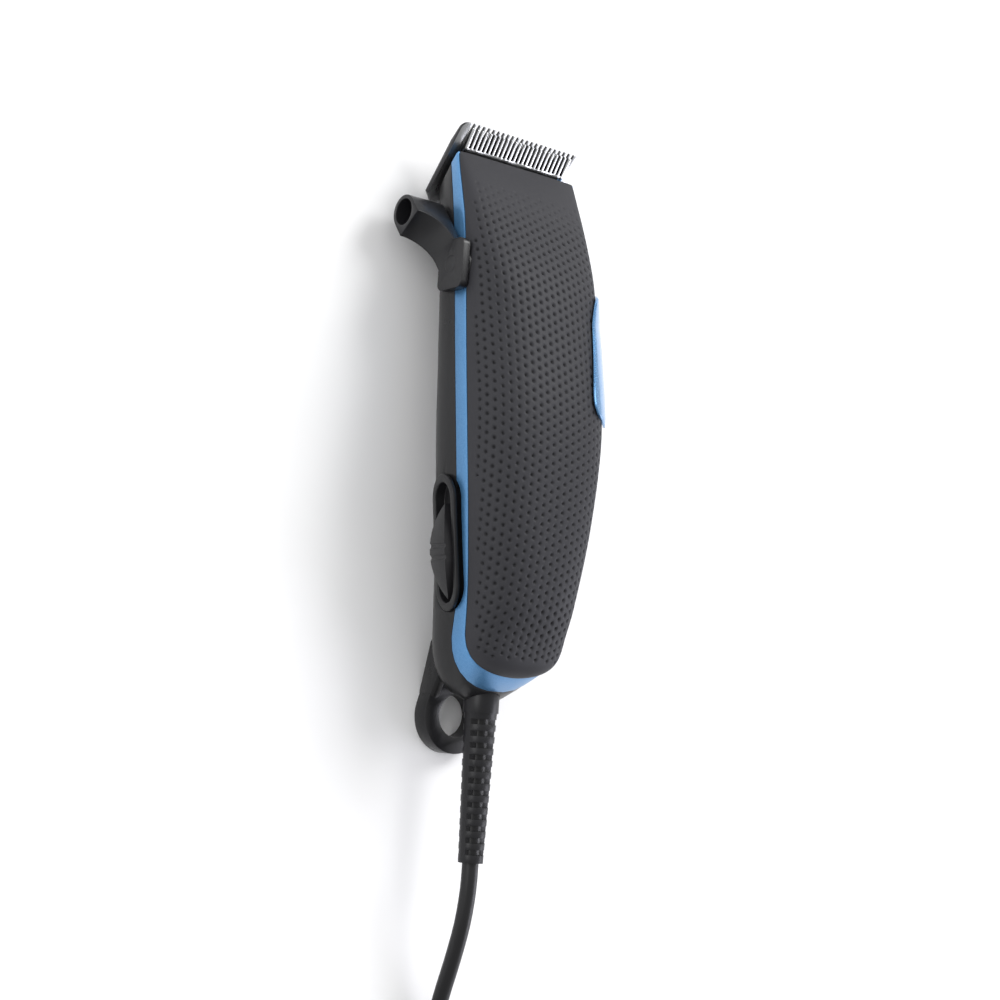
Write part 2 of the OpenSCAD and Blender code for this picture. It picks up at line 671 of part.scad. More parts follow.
gap_pitch = (blade_w - 2 * corner_tooth) / (fixed_gaps - 0.5);
gap_w = gap_pitch / 2;
module fixed_blade() {
    tip_thick = 0.8;
    color(blade_steel) blade_frame() difference() {
        along_x(-blade_w / 2) linear_extrude(height = blade_w) polygon([[0, 0],
            [blade_len - tooth_len - 1, 0], [blade_len, blade_thick - tip_thick],
            [blade_len, blade_thick], [0.6, blade_thick], [0, blade_thick - 0.6]]);
        for (i = [0:fixed_gaps - 1])
            translate([-blade_w / 2 + corner_tooth + i * gap_pitch, blade_len - tooth_len, -1])
                cube([gap_w, tooth_len + 1, blade_thick + 2]);
        for (s = [-1, 1]) translate([s * post_x, post_u, -1])
            cylinder(h = blade_thick + 2, r = 1.9);
        // Relief window behind the teeth, open to the moving blade's rail
        translate([-8, 5, -1]) cube([16, 4, blade_thick + 2]);
        // Clipped heel corners
        for (s = [-1, 1]) translate([s * blade_w / 2, 0, 0]) rotate(45)
            translate([-2, -2, -1]) cube([4, 4, blade_thick + 2]);
    }
}

moving_u = [guide_u[0] + 5, blade_len - tip_set];
moving_tooth = 6;
peg_x = 6.5;
peg_u = 13.4;
module moving_blade() {
    pitch = moving_w / moving_teeth;
    color(blade_steel) blade_frame() translate([0, 0, blade_thick + slip]) difference() {
        along_x(-moving_w / 2) linear_extrude(height = moving_w) polygon([[moving_u[0], 0],
            [moving_u[1], 0], [moving_u[1], 0.5], [moving_u[1] - moving_tooth, moving_thick],
            [moving_u[0], moving_thick]]);
        for (i = [1:moving_teeth - 1])
            translate([-moving_w / 2 + (i - 0.25) * pitch, moving_u[1] - moving_tooth, -1])
                cube([pitch / 2, moving_tooth + 1, moving_thick + 2]);
        for (s = [-1, 1]) translate([s * peg_x - 1.6, peg_u - 1.3, -1])
            cube([3.2, 2.6, moving_thick + 2]);
    }
}

module blade_screws() {
    color(spring_steel) blade_frame() for (s = [-1, 1]) translate([s * post_x, post_u, 0]) {
        difference() {
            translate([0, 0, -1.5]) cylinder(h = 1.5, r = 3.1);
            cross_slot(-1.5, 0.9, 3.6);
        }
        cylinder(h = 9, r = 1.48);
    }
}

// The guide sits on the moving blade with two pegs, and the drive pin shakes it.
guide_top = 8.8;
pin_place_u = 11.2;
module blade_guide() {
    base = blade_thick + slip + moving_thick;
    slot_r = drive_pin_d / 2 + run_fit;
    color(cream) blade_frame() difference() {
        union() {
            translate([-9, guide_u[0], base]) cube([18, guide_u[1] - guide_u[0], 2.2]);
            translate([-8, guide_u[0] + 0.4, base]) cube([16, 8.9, guide_top - base]);
            for (s = [-1, 1]) translate([s * peg_x - 1.5, peg_u - 1.2, blade_thick + 0.2])
                cube([3, 2.4, base - blade_thick]);
        }
        translate([0, 0, base + 0.8]) hull() {
            translate([0, pin_place_u + taper_travel + 0.3, 0])
                cylinder(h = 20, r = slot_r, $fn = 32);
            translate([0, pin_place_u - 0.3, 0])
                cylinder(h = 20, r = slot_r, $fn = 32);
        }
    }
}

// Hairpin spring that presses the guide and the moving blade onto the fixed blade.
module blade_spring() {
    r = 0.6;
    x = peg_x;
    rest_v = guide_top + r + slip;
    side = [[-x, 9.5, rest_v], [-x, 7, rest_v + 0.2], [-x, 4, rest_v + 1.8], [-x, 1.6, rest_v + 1.6],
        [-x + 1.4, 0.8, rest_v + 0.9]];
    half = [for (p = side) p];
    other = [for (i = [len(side) - 1:-1:0]) [-side[i][0], side[i][1], side[i][2]]];
    color(spring_steel) blade_frame()
        wire(smooth_route(concat(half, other), 3), r, 8, [0, 1, 0.3]);
}

// ---- Motor -------------------------------------------------------------------------------

core_y0 = end_y + 64;
core_z0 = 18.5;
core_x = [-18, 4];
leg_outer = 7;
leg_middle = 12;
bar = 6;
CORE_FEET = [[-14.9, core_y0 + 3.2], [-14.9, core_y0 + core_len - 3.2]];
core_mid_y = core_y0 + core_len / 2;
core_mid_z = core_z0 + stack / 2;
leg_len = core_x[1] - core_x[0] - bar;

module stator_core() {
    color(core_steel) difference() {
        translate([0, 0, core_z0]) linear_extrude(height = stack) {
            translate([core_x[0], core_y0]) square([bar, core_len]);
            for (y = [core_y0, core_y0 + core_len - leg_outer])
                translate([core_x[0] + bar - 1, y]) square([leg_len + 1, leg_outer]);
            translate([core_x[0] + bar - 1, core_mid_y - leg_middle / 2])
                square([leg_len + 1, leg_middle]);
        }
        for (p = CORE_FEET) translate([p[0], p[1], core_z0 - 1])
            cylinder(h = stack + 2, r = 1.7);
    }
}

bobbin_wall = 0.8;
window = (core_len - 2 * leg_outer - leg_middle) / 2;
winding_depth = 4.2;
flange_over = 0.4;      // the flanges stand this much above the winding
bobbin_x = [core_x[0] + bar + 0.2, core_x[1] - 1.6];
module box_tube(y, z, wall_t) {
    difference() {
        square([2 * (y + wall_t), 2 * (z + wall_t)], center = true);
        square([2 * y, 2 * z], center = true);
    }
}
module coil_bobbin() {
    y = leg_middle / 2 + fit;
    z = stack / 2 + fit;
    rim_h = bobbin_wall + winding_depth + flange_over;
    color(cream) translate([0, core_mid_y, core_mid_z]) {
        along_x(bobbin_x[0]) linear_extrude(height = bobbin_x[1] - bobbin_x[0])
            box_tube(y, z, bobbin_wall);
        for (x = [bobbin_x[0], bobbin_x[1] - 1]) along_x(x) linear_extrude(height = 1)
            difference() {
                square([2 * (y + rim_h), 2 * (z + rim_h)], center = true);
                square([2 * y + 1, 2 * z + 1], center = true);
            }
    }
}

module coil_winding() {
    y = leg_middle / 2 + fit + bobbin_wall;
    z = stack / 2 + fit + bobbin_wall;
    color(copper) translate([0, core_mid_y, core_mid_z]) along_x(bobbin_x[0] + 1)
        linear_extrude(height = bobbin_x[1] - bobbin_x[0] - 2) difference() {
            offset(r = winding_depth, $fn = 32) square([2 * y, 2 * z], center = true);
            square([2 * y, 2 * z], center = true);
        }
}

module core_screws() {
    color(spring_steel) for (p = CORE_FEET) translate([p[0], p[1], core_z0 + stack]) {
        difference() {
            cylinder(h = 1.8, r = 2.8);
            translate([0, 0, 1.8]) mirror([0, 0, 1]) cross_slot(0, 0.9, 3);
        }
        translate([0, 0, -stack - 6]) cylinder(h = stack + 6, r = 1.38);
    }
}

// The armature is riveted to the swinging arm, which a leaf spring holds at its rear end.
armature_x = core_x[1] + air_gap;
armature_thick = 5;
arm_x = armature_x + armature_thick;
arm_thick = 3;
pivot_y = core_y0 - 8;
pivot_x = arm_x + arm_thick / 2;
RIVET_Y = [core_y0 + 8, core_y0 + core_len - 8];

module armature() {
    color(core_steel) difference() {
        translate([armature_x, core_y0, core_z0]) cube([armature_thick, core_len, stack]);
        for (y = RIVET_Y) translate([0, y, core_mid_z])
            rod_x(armature_x - 1, arm_x + 1, 1.3 + fit);
    }
}

bridge_y = end_y + 122;
tongue_z = [13, 19];
// Where the drive pin leaves the tongue, over the blade
pin_top_v = 15;
function blade_y(u, v) = heel_y + u * cos(blade_angle) - v * sin(blade_angle);
function blade_z(u, v) = u * sin(blade_angle) + v * cos(blade_angle);
tongue_end = blade_y(pin_place_u, pin_top_v) + 2.6;
module drive_arm() {
    side = [[core_y0 - 12, core_z0 + 1], [core_y0 - 12, core_z0 + stack - 1],
        [core_y0 + core_len, core_z0 + stack - 1], [bridge_y, tongue_z[1] + 3],
        [bridge_y + 4, tongue_z[1] + 3], [bridge_y + 4, tongue_z[0]],
        [power_y - 6, power_z - 5], [core_y0 + core_len - 6, core_z0 + 1]];
    color("#b9bcc2") difference() {
        union() {
            along_x(arm_x) linear_extrude(height = arm_thick) polygon(side);
            translate([-3, bridge_y, tongue_z[0]])
                cube([arm_x + arm_thick + 3, 4, tongue_z[1] + 3 - tongue_z[0]]);
            translate([-3, bridge_y, tongue_z[0]])
                cube([6, tongue_end - bridge_y, tongue_z[1] - tongue_z[0]]);
        }
        for (y = RIVET_Y) translate([0, y, core_mid_z])
            rod_x(arm_x - 1, arm_x + arm_thick + 1, 1.3 + fit);
        blade_frame() translate([0, pin_place_u, -20]) cylinder(h = 80, r = drive_pin_d / 2);
        // Screw holes of the leaf spring
        for (z = [-3, 3]) translate([0, core_y0 - 9, core_mid_z + z])
            rod_x(arm_x - 1, arm_x + arm_thick + 1, 0.9);
    }
}

module arm_rivets() {
    color(spring_steel) for (y = RIVET_Y) translate([0, y, core_mid_z]) {
        rod_x(armature_x + 0.4, arm_x + arm_thick, 1.3);
        rod_x(arm_x + arm_thick, arm_x + arm_thick + 0.9, 2.4);
    }
}

module drive_pin() {
    color(spring_steel) blade_frame()
        translate([0, pin_place_u, blade_thick + slip + moving_thick + 1.2])
            cylinder(h = pin_top_v - blade_thick - moving_thick - 0.6, r = drive_pin_d / 2);
}

anchor_len = 10;
anchor_y0 = core_y0 - 27;
anchor_x0 = arm_x - 3;
anchor_x1 = arm_x + arm_thick;
anchor_z0 = 15;
anchor_mid_x = (anchor_x0 + anchor_x1) / 2;
ANCHOR_SCREW_Y = [anchor_y0 + 5];
module arm_anchor() {
    color(core_steel) difference() {
        translate([anchor_x0, anchor_y0, anchor_z0])
            cube([anchor_x1 - anchor_x0, anchor_len, core_z0 + stack - 1 - anchor_z0]);
        for (y = ANCHOR_SCREW_Y) translate([anchor_mid_x, y, 0]) cylinder(h = 60, r = 1.6);
        for (y = ANCHOR_SCREW_Y) translate([anchor_mid_x, y, anchor_z0 + 4])
            cylinder(h = 60, r = 2.8);
    }
}

module anchor_screws() {
    color(spring_steel) for (y = ANCHOR_SCREW_Y) translate([anchor_mid_x, y, anchor_z0 + 4]) {
        cylinder(h = 1.8, r = 2.6);
        translate([0, 0, -10]) cylinder(h = 10, r = 1.38);
    }
}

leaf_thick = 0.5;
module leaf_spring() {
    color(spring_steel) translate([arm_x + arm_thick + 0.02, anchor_y0 + 1, core_mid_z - 5])
        cube([leaf_thick, core_y0 - 5 - anchor_y0, 10]);
}

// Two coil springs hold the arm in the middle; the power screw sets the right one.
coil_r = 2.4;
coil_wire = 0.35;
function helix(x0, x1, turns, r, steps) = [for (i = [0:turns * steps])
    let (a = 360 * i / steps, x = x0 + (x1 - x0) * i / (turns * steps))
    [x, r * cos(a), r * sin(a)]];
module coil_spring(x0, x1, turns) {
    route = helix(x0 + coil_wire + 0.1, x1 - coil_wire - 0.1, turns, coil_r, 12);
    color(spring_steel) power_frame() wire(route, coil_wire, 6, [1, 0, 0]);
}
module return_spring_left() coil_spring(spring_post_x, arm_x, 6);
module return_spring_right() coil_spring(arm_x + arm_thick, screw_tip_x, 4);

module power_screw() {
    color(blade_steel) power_frame() difference() {
        union() {
            rod_x(screw_tip_x, power_x - 2.3, power_screw_r);
            rod_x(power_x - 2.3, power_x - 0.5, power_head_r);
            rod_x(screw_tip_x, screw_tip_x + 0.8, 2.8);
        }
        translate([power_x - 1.3, -4, -0.5]) cube([2, 8, 1]);
    }
}

// ---- Cord side ---------------------------------------------------------------------------

relief_r0 = 4.9;
relief_r1 = 3.7;
collar_len = 6.3;
slot_count = 12;
slot_pitch = 3.45;
slot_len = 1.6;
spine = 3;
relief_end_y = end_y - relief_len;
module strain_relief() {
    cone_len = relief_len - collar_len;
    color(satin_black) translate([0, 0, cord_z]) difference() {
        union() {
            rod_y(end_y - collar_len, end_y - 0.1, relief_r0 + 0.4);
            rod_y(end_y - 1, flange_y0, relief_neck_r - 0.05);
            rod_y(flange_y0, flange_y0 + 1.6, relief_flange_r);
            translate([0, end_y - collar_len + 0.01, 0]) rotate([90, 0, 0])
                cylinder(h = cone_len, r1 = relief_r0, r2 = relief_r1);
        }
        rod_y(relief_end_y - 1, end_y + 6, cord_d / 2);
        for (i = [0:slot_count - 1], s = [0, 180]) rotate([0, s, 0])
            translate([-8, end_y - collar_len - 1.8 - slot_len - i * slot_pitch, spine / 2])
                cube([16, slot_len, 8]);
    }
}

module cord_inner() {
    color(satin_black) translate([0, 0, cord_z])
        rod_y(relief_end_y, end_y + 9, cord_d / 2);
}

// Clamp bar over the cord inside the body
module cord_clamp() {
    color(cream) translate([0, end_y + 6.4, cord_z]) difference() {
        translate([-5.4, 0, -3.8]) cube([10.8, 2.2, 7.6]);
        rod_y(-1, 4, cord_d / 2);
    }
}

// Insulated leads from the cord to the switch, and on to the coil
module lead_wires() {
    r = 0.7;
    y0 = end_y + 9.2;
    to_switch = [[-1.2, y0, cord_z], [-2.4, y0 + 5, cord_z], [-5, y0 + 12, 19], [-6, y0 + 20, 20.5],
        [-6.2, y0 + 27, 21.6]];
    to_coil = [[1.2, y0, cord_z], [3, y0 + 4, cord_z - 1], [6.4, y0 + 10, 15], [6, y0 + 24, 13],
        [3, y0 + 38, 12.6], [0.6, y0 + 50, 12], [-2, y0 + 62, 12]];
    from_switch = [[-6.6, y0 + 33, 21.6], [-5, y0 + 37, 20], [-2.6, y0 + 43, 15],
        [-2.2, y0 + 50, 12.4], [-3.4, y0 + 56, 12], [-5, y0 + 61, 12]];
    color(copper) for (route = [to_switch, to_coil, from_switch])
        wire(smooth_route(route, 2), r, 8, [0, 0.1, 1]);
}

// Free cord: it droops from the strain relief to the table and runs to the hank.
hank_lift = 1;
run_z = hank_lift + cord_d / 2;
CORD_ROUTE = [[0, -54, 17.5], [0, -62, 17.3], [0, -72, 15.6], [0, -83, 12], [0, -94, 7.8],
    [0, -105, 4.6], [0, -116, 3.5], [0, -126, 3.5]];
hank_top_y = -126;
hank_run = 100;
hank_r = 20;
hank_rows = 3;
HANK_TAIL = [[0, -226, 13.5], [0, -236, 12.6], [0, -248, 8.4], [0, -260, 5.8], [0, -268, 6.6],
    [0, -274, 7]];
module cord() {
    color(satin_black) difference() {
        for (route = [CORD_ROUTE, HANK_TAIL])
            wire(smooth_route(route, 2), cord_d / 2, 10, [1, 0, 0]);
        // The ends run into the hank's outer turns.
        linear_extrude(height = 40) hank_outline(hank_r + cord_d / 2 + 0.05);
    }
}

// Outline of the hank: long runs with round ends, open in the middle
module hank_outline(r) hull() {
    translate([-hank_r, hank_top_y]) circle(r = r);
    translate([-hank_r, hank_top_y - hank_run]) circle(r = r);
}
module cord_hank() {
    outer = hank_r + cord_d / 2;
    inner = hank_r - 1.5 * cord_d;
    color(satin_black) translate([0, 0, hank_lift]) linear_extrude(height = hank_rows * cord_d)
        difference() {
            hank_outline(outer);
            hank_outline(inner);
        }
}

// Strap round the middle of the hank
tie_w = 9;
module cord_tie() {
    outer_x = hank_r + cord_d / 2 + 0.9;
    top = hank_lift + hank_rows * cord_d;
    color(satin_black) translate([-hank_r, hank_top_y - hank_run / 2 + tie_w / 2, 0])
        rotate([90, 0, 0]) linear_extrude(height = tie_w) difference() {
            translate([-outer_x, 0]) square([2 * outer_x, top + 0.9]);
            translate([-outer_x + 0.85, hank_lift - 0.05])
                square([2 * outer_x - 1.7, top - hank_lift + 0.1]);
        }
}

plug_y = -274;
plug_z = 7;
plug_len = 34;
module plug_body() {
    color(satin_black) translate([0, plug_y, plug_z]) rotate([90, 0, 0]) {
        cylinder(h = 9, r1 = 3.8, r2 = 5.2);
        translate([0, 0, 8]) linear_extrude(height = plug_len - 8) intersection() {
            stadium(2 * 16.4, 13.6);
            square([32.8, 13.6], center = true);
        }
    }
}
module plug_pins() {
    color(blade_steel) for (s = [-1, 1])
        translate([s * plug_pin_pitch / 2, plug_y - plug_len, plug_z]) rotate([90, 0, 0])
            cylinder(h = 19, r = plug_pin_d / 2);
}

front_cover();
rear_housing();
side_band();
flank_inlay();
switch_bezel();
switch_button();
switch_carrier();
switch_block();
taper_lever();
lever_shaft();
lever_screw();
taper_follower();
fixed_blade();
moving_blade();
blade_screws();
blade_guide();
blade_spring();
stator_core();
coil_bobbin();
coil_winding();
core_screws();
armature();
drive_arm();
arm_rivets();
drive_pin();
leaf_spring();
arm_anchor();
anchor_screws();
return_spring_left();
return_spring_right();
power_screw();
housing_screws();
lead_wires();
cord_clamp();
strain_relief();
cord_inner();
cord();
cord_hank();
cord_tie();
plug_body();
plug_pins();
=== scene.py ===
import json
import math

import bmesh
import bpy
from mathutils import Matrix, Vector

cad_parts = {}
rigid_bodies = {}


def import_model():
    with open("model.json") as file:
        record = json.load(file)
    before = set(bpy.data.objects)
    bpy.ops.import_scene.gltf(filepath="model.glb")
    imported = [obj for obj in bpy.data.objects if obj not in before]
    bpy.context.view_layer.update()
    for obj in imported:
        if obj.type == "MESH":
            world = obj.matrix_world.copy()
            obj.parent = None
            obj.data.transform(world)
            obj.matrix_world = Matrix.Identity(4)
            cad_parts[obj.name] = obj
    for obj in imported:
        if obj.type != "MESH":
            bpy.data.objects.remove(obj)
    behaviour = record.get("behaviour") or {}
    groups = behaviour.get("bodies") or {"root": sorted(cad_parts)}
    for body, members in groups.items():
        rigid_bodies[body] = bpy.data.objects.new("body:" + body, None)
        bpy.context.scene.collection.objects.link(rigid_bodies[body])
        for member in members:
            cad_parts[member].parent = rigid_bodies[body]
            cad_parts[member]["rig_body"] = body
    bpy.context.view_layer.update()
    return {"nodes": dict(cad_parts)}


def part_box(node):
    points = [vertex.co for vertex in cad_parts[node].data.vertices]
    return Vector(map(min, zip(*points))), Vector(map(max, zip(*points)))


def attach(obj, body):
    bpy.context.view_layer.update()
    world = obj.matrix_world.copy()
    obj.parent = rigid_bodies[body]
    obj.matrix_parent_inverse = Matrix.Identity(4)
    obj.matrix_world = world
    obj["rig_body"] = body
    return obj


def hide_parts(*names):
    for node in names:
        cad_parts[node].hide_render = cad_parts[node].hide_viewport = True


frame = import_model()

# ---- Studio ---------------------------------------------------------------------------------
# A plain pale table under soft studio light, with one camera above the left side of the
# clipper. The clipper lies on its back with its blades away from the camera's lower edge.

CAMERA_PLACE = Vector((-0.33709, -0.01483, 0.45401))
CAMERA_RIGHT = Vector((0.78290083, 0.06762612, 0.61845541))
CAMERA_UP = Vector((-0.12897197, 0.99012657, 0.05495047))
SENSOR = 36.0
FOCAL_IN_FRAMES = 1.8525

camera_data = bpy.data.cameras.new("camera")
camera_data.sensor_width = SENSOR
camera_data.lens = FOCAL_IN_FRAMES * SENSOR
camera_data.clip_start = 0.01
camera = bpy.data.objects.new("camera", camera_data)
bpy.context.scene.collection.objects.link(camera)
back = CAMERA_RIGHT.cross(CAMERA_UP)
camera.matrix_world = Matrix.Translation(CAMERA_PLACE) @ Matrix(
    (CAMERA_RIGHT, CAMERA_UP, back)).transposed().to_4x4()
bpy.context.scene.camera = camera
bpy.context.scene.view_settings.view_transform = "Standard"


class Signal:
    """One output of a node, which reads like a number in the shader maths."""

    def __init__(self, finish, socket):
        self.finish, self.socket = finish, socket

    def __abs__(self):
        return self.finish.node("ShaderNodeMath", {"operation": "ABSOLUTE"}, {0: self})


class Finish:
    """A material round one Principled shader. Words set constants on the shader's sockets."""

    def __init__(self, name, **constants):
        self.material = bpy.data.materials.new(name)
        self.material.use_nodes = True
        self.tree = self.material.node_tree
        self.shader = next(n for n in self.tree.nodes if n.type == "BSDF_PRINCIPLED")
        for socket, value in constants.items():
            self.shader.inputs[socket.replace("_", " ")].default_value = value

    def node(self, kind, settings=None, sockets=None, output=0):
        made = self.tree.nodes.new(kind)
        for key, value in (settings or {}).items():
            setattr(made, key, value)
        for key, value in (sockets or {}).items():
            self.join(value, made.inputs[key])
        return Signal(self, made.outputs[output])

    def join(self, value, socket):
        if isinstance(value, Signal):
            self.tree.links.new(value.socket, socket)
        elif hasattr(value, "__len__") and len(value) == 3 and socket.type == "RGBA":
            socket.default_value = (*value, 1)
        else:
            socket.default_value = value

    def feed(self, **varying):
        for socket, value in varying.items():
            self.join(value, self.shader.inputs[socket.replace("_", " ")])

    def place(self, stretch=(1, 1, 1)):
        """Object coordinates, drawn out or squeezed along the axes."""
        spot = self.node("ShaderNodeTexCoord", output=3)
        return self.node("ShaderNodeMapping", None, {0: spot, "Scale": stretch})

    def noise(self, scale, detail=2.0, where=None, rough=0.5):
        return self.node("ShaderNodeTexNoise", None, {
            "Vector": where or self.place(), "Scale": scale, "Detail": detail, "Roughness": rough})

    def spread(self, value, low, high, out_low=0.0, out_high=1.0):
        """The span from low to high, laid out over another span and held inside it."""
        return self.node("ShaderNodeMapRange", None, {
            0: value, 1: low, 2: high, 3: out_low, 4: out_high})

    def tint(self, share, first, second):
        return self.node("ShaderNodeMix", {"data_type": "RGBA"}, {0: share, 6: first, 7: second}, 2)

    def bump(self, height, deep, strength=1.0):
        return self.node("ShaderNodeBump", None, {
            "Height": height, "Distance": deep, "Strength": strength})


TABLE_HALF = 30


def lay_floor():
    bm = bmesh.new()
    bmesh.ops.create_grid(bm, x_segments=1, y_segments=1, size=TABLE_HALF)
    mesh = bpy.data.meshes.new("table_top")
    bm.to_mesh(mesh)
    bm.free()
    table = bpy.data.objects.new("table_top", mesh)
    bpy.context.scene.collection.objects.link(table)
    paper = Finish("pale_paper", Roughness=0.9)
    shade = paper.spread(paper.noise(30.0), 0.3, 0.7)
    paper.feed(Base_Color=paper.tint(shade, (0.87, 0.87, 0.875), (0.89, 0.89, 0.895)))
    mesh.materials.append(paper.material)


def hang_softbox(name, place, aim, width, height, power, colour=(1, 1, 1)):
    box = bpy.data.lights.new(name, "AREA")
    box.shape, box.size, box.size_y = "RECTANGLE", width, height
    box.energy, box.color = power, colour
    lamp = bpy.data.objects.new(name, box)
    bpy.context.scene.collection.objects.link(lamp)
    lamp.location = place
    lamp.rotation_euler = (Vector(aim) - Vector(place)).to_track_quat("-Z", "Y").to_euler()


lay_floor()
MIDDLE = (0, 0.08, 0.02)
hang_softbox("key_softbox", (0.55, 0.75, 0.75), MIDDLE, 0.45, 0.6, 9)
hang_softbox("side_softbox", (-0.9, 0.25, 0.4), MIDDLE, 0.8, 0.5, 4)
hang_softbox("rim_softbox", (0.8, -0.25, 0.4), MIDDLE, 0.6, 0.4, 4, (0.90, 0.90, 1.0))

# The room is dimmer behind the cord end than past the blades: strength by direction along Y.
DIM_Y, BRIGHT_Y, DIM, BRIGHT = -0.9, 0.1, 0.45, 0.82
sky = bpy.data.worlds.new("studio")
sky.use_nodes = True
sky.node_tree.nodes["Background"].inputs[0].default_value = (1, 1, 1, 1)
to_light = sky.node_tree.nodes.new("ShaderNodeTexCoord")
parts = sky.node_tree.nodes.new("ShaderNodeSeparateXYZ")
fall = sky.node_tree.nodes.new("ShaderNodeMapRange")
sky.node_tree.links.new(to_light.outputs["Generated"], parts.inputs[0])
sky.node_tree.links.new(parts.outputs["Y"], fall.inputs[0])
for place, value in enumerate((DIM_Y, BRIGHT_Y, DIM, BRIGHT), 1):
    fall.inputs[place].default_value = value
sky.node_tree.links.new(fall.outputs[0], sky.node_tree.nodes["Background"].inputs[1])
bpy.context.scene.world = sky

# ---- Mains cord -----------------------------------------------------------------------------
# A round two-core cord in black vinyl. It leaves the strain relief level, droops to the table
# and is put away in a hank of six runs out and five back, held by a strap, before its plug.

MM = 0.001
CORD_D = 0.005
# Places (y, z) on the way down and on the way to the plug, in millimetres, as is the hank
DROOP = [(-54, 17.5), (-62, 17.3), (-72, 15.6), (-83, 12), (-94, 7.8), (-105, 4.6), (-116, 3.5),
         (-126, 3.5)]
TAIL = [(-236, 12.6), (-248, 8.4), (-260, 5.8), (-268, 6.6), (-274, 7)]
HANK_X, HANK_NORTH, HANK_SOUTH = -20.0, -126.0, -226.0
# Each turn's distance from the hank's middle line, and its height
TURNS = [(20, 3.5), (15, 3.5), (15, 8.5), (20, 8.5), (15, 13.5)]
LAST_RUN = (20, 13.5)
RUN_POINTS, RUN_STEP, RUN_START = 10, 10, 5
CROSS_FROM, CROSS_APART, CROSS_LEN = 10, 9, 36
BEND_STEPS = 8


def ease(t):
    """A soft step from 0 to 1."""
    t = min(1.0, max(0.0, t))
    return t * t * (3 - 2 * t)


def hank_points():
    """The turns of the hank: down the right side, round, up the left side and round again."""
    points = []
    before = TURNS[0]
    for k, (reach, height) in enumerate(TURNS + [LAST_RUN]):
        start = CROSS_FROM + CROSS_APART * (k % 3)
        for i in range(RUN_POINTS):
            along = RUN_STEP * (i + 1)
            t = ease((along - start) / CROSS_LEN)
            r = before[0] + (reach - before[0]) * t
            z = before[1] + (height - before[1]) * t
            points.append((HANK_X + r, HANK_NORTH - along + RUN_START, z))
        before = (reach, height)
        if k == len(TURNS):
            break
        for i in range(BEND_STEPS + 1):
            a = math.pi * i / BEND_STEPS
            points.append((HANK_X + reach * math.cos(a), HANK_SOUTH - reach * math.sin(a), height))
        back_step = (HANK_NORTH - HANK_SOUTH) / BEND_STEPS
        for i in range(1, BEND_STEPS):
            points.append((HANK_X - reach, HANK_SOUTH + back_step * i, height))
        for i in range(BEND_STEPS + 1):
            a = math.pi * (1 - i / BEND_STEPS)
            points.append((HANK_X + reach * math.cos(a), HANK_NORTH + reach * math.sin(a), height))
    return points


def smooth_path(points, steps):
    """A curve through the points, with a few places between each pair."""
    line = []
    for i in range(len(points) - 1):
        a, b, c, d = (Vector(points[min(max(i + k, 0), len(points) - 1)]) for k in (-1, 0, 1, 2))
        for k in range(steps):
            t = k / steps
            line.append(0.5 * (2 * b + t * (c - a) + t * t * (2 * a - 5 * b + 4 * c - d)
                               + t * t * t * (3 * b - a - 3 * c + d)))
    return line + [Vector(points[-1])]


def new_curve(name, line, thickness, finish):
    data = bpy.data.curves.new(name, "CURVE")
    data.dimensions = "3D"
    data.bevel_depth, data.bevel_resolution = thickness / 2, 5
    data.use_fill_caps = True
    spline = data.splines.new("POLY")
    spline.points.add(len(line) - 1)
    for point, place in zip(spline.points, line):
        point.co = (*place, 1)
    data.materials.append(finish.material)
    piece = bpy.data.objects.new(name, data)
    bpy.context.scene.collection.objects.link(piece)
    return piece


def moulded(name, shade, rough, grain=9000.0, deep=0.00002, patch=0.06, **constants):
    """Moulded plastic: a fine grain, and slightly uneven colour and gloss from handling."""
    made = Finish(name, **constants)
    mottle = made.noise(70.0, 3.0)
    pale = tuple(c * (1 + patch) + 0.002 for c in shade)
    made.feed(Base_Color=made.tint(mottle, shade, pale),
              Roughness=made.spread(mottle, 0.3, 0.7, rough - 0.04, rough + 0.05),
              Normal=made.bump(made.noise(grain, 1.0), deep, 0.5))
    return made


cord_black = moulded("cord_vinyl", (0.009, 0.009, 0.010), 0.38, 3000, 0.00001,
                     Specular_IOR_Level=0.3)
route = [(0, y, z) for y, z in DROOP] + hank_points()
route += [(0, y, z) for y, z in TAIL]
cord_line = [p * MM for p in smooth_path(route, 3)]
cord_length = sum((b - a).length for a, b in zip(cord_line, cord_line[1:]))
mains_cord = new_curve("mains_cord", cord_line, CORD_D, cord_black)

# ---- Plug and strap -------------------------------------------------------------------------
# The plug is a flat two-pin body moulded onto the cord, with ribs for the fingers and two
# round nickel-plated pins. The strap round the hank is woven tape that closes on itself.

CREASE, SOFT_CREASE, ROUNDED_FROM = math.radians(35), math.radians(40), math.radians(30)
WELD, FLAT = 0.000002, math.radians(0.5)


def to_piece(name, bm, finish, body, replaced):
    """A bmesh becomes a piece that rides on a body and takes a slot's finish."""
    mesh = bpy.data.meshes.new(name)
    bm.to_mesh(mesh)
    bm.free()
    mesh.shade_smooth()
    mesh.set_sharp_from_angle(angle=CREASE)
    mesh.materials.append(finish.material)
    piece = bpy.data.objects.new(name, mesh)
    bpy.context.scene.collection.objects.link(piece)
    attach(piece, body)
    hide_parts(replaced)
    return piece


def apply_modifiers(piece):
    """The piece's mesh becomes what its modifiers make of it."""
    graph = bpy.context.evaluated_depsgraph_get()
    graph.update()
    mesh = bpy.data.meshes.new_from_object(piece.evaluated_get(graph))
    old = piece.data
    piece.modifiers.clear()
    piece.data = mesh
    bpy.data.meshes.remove(old)


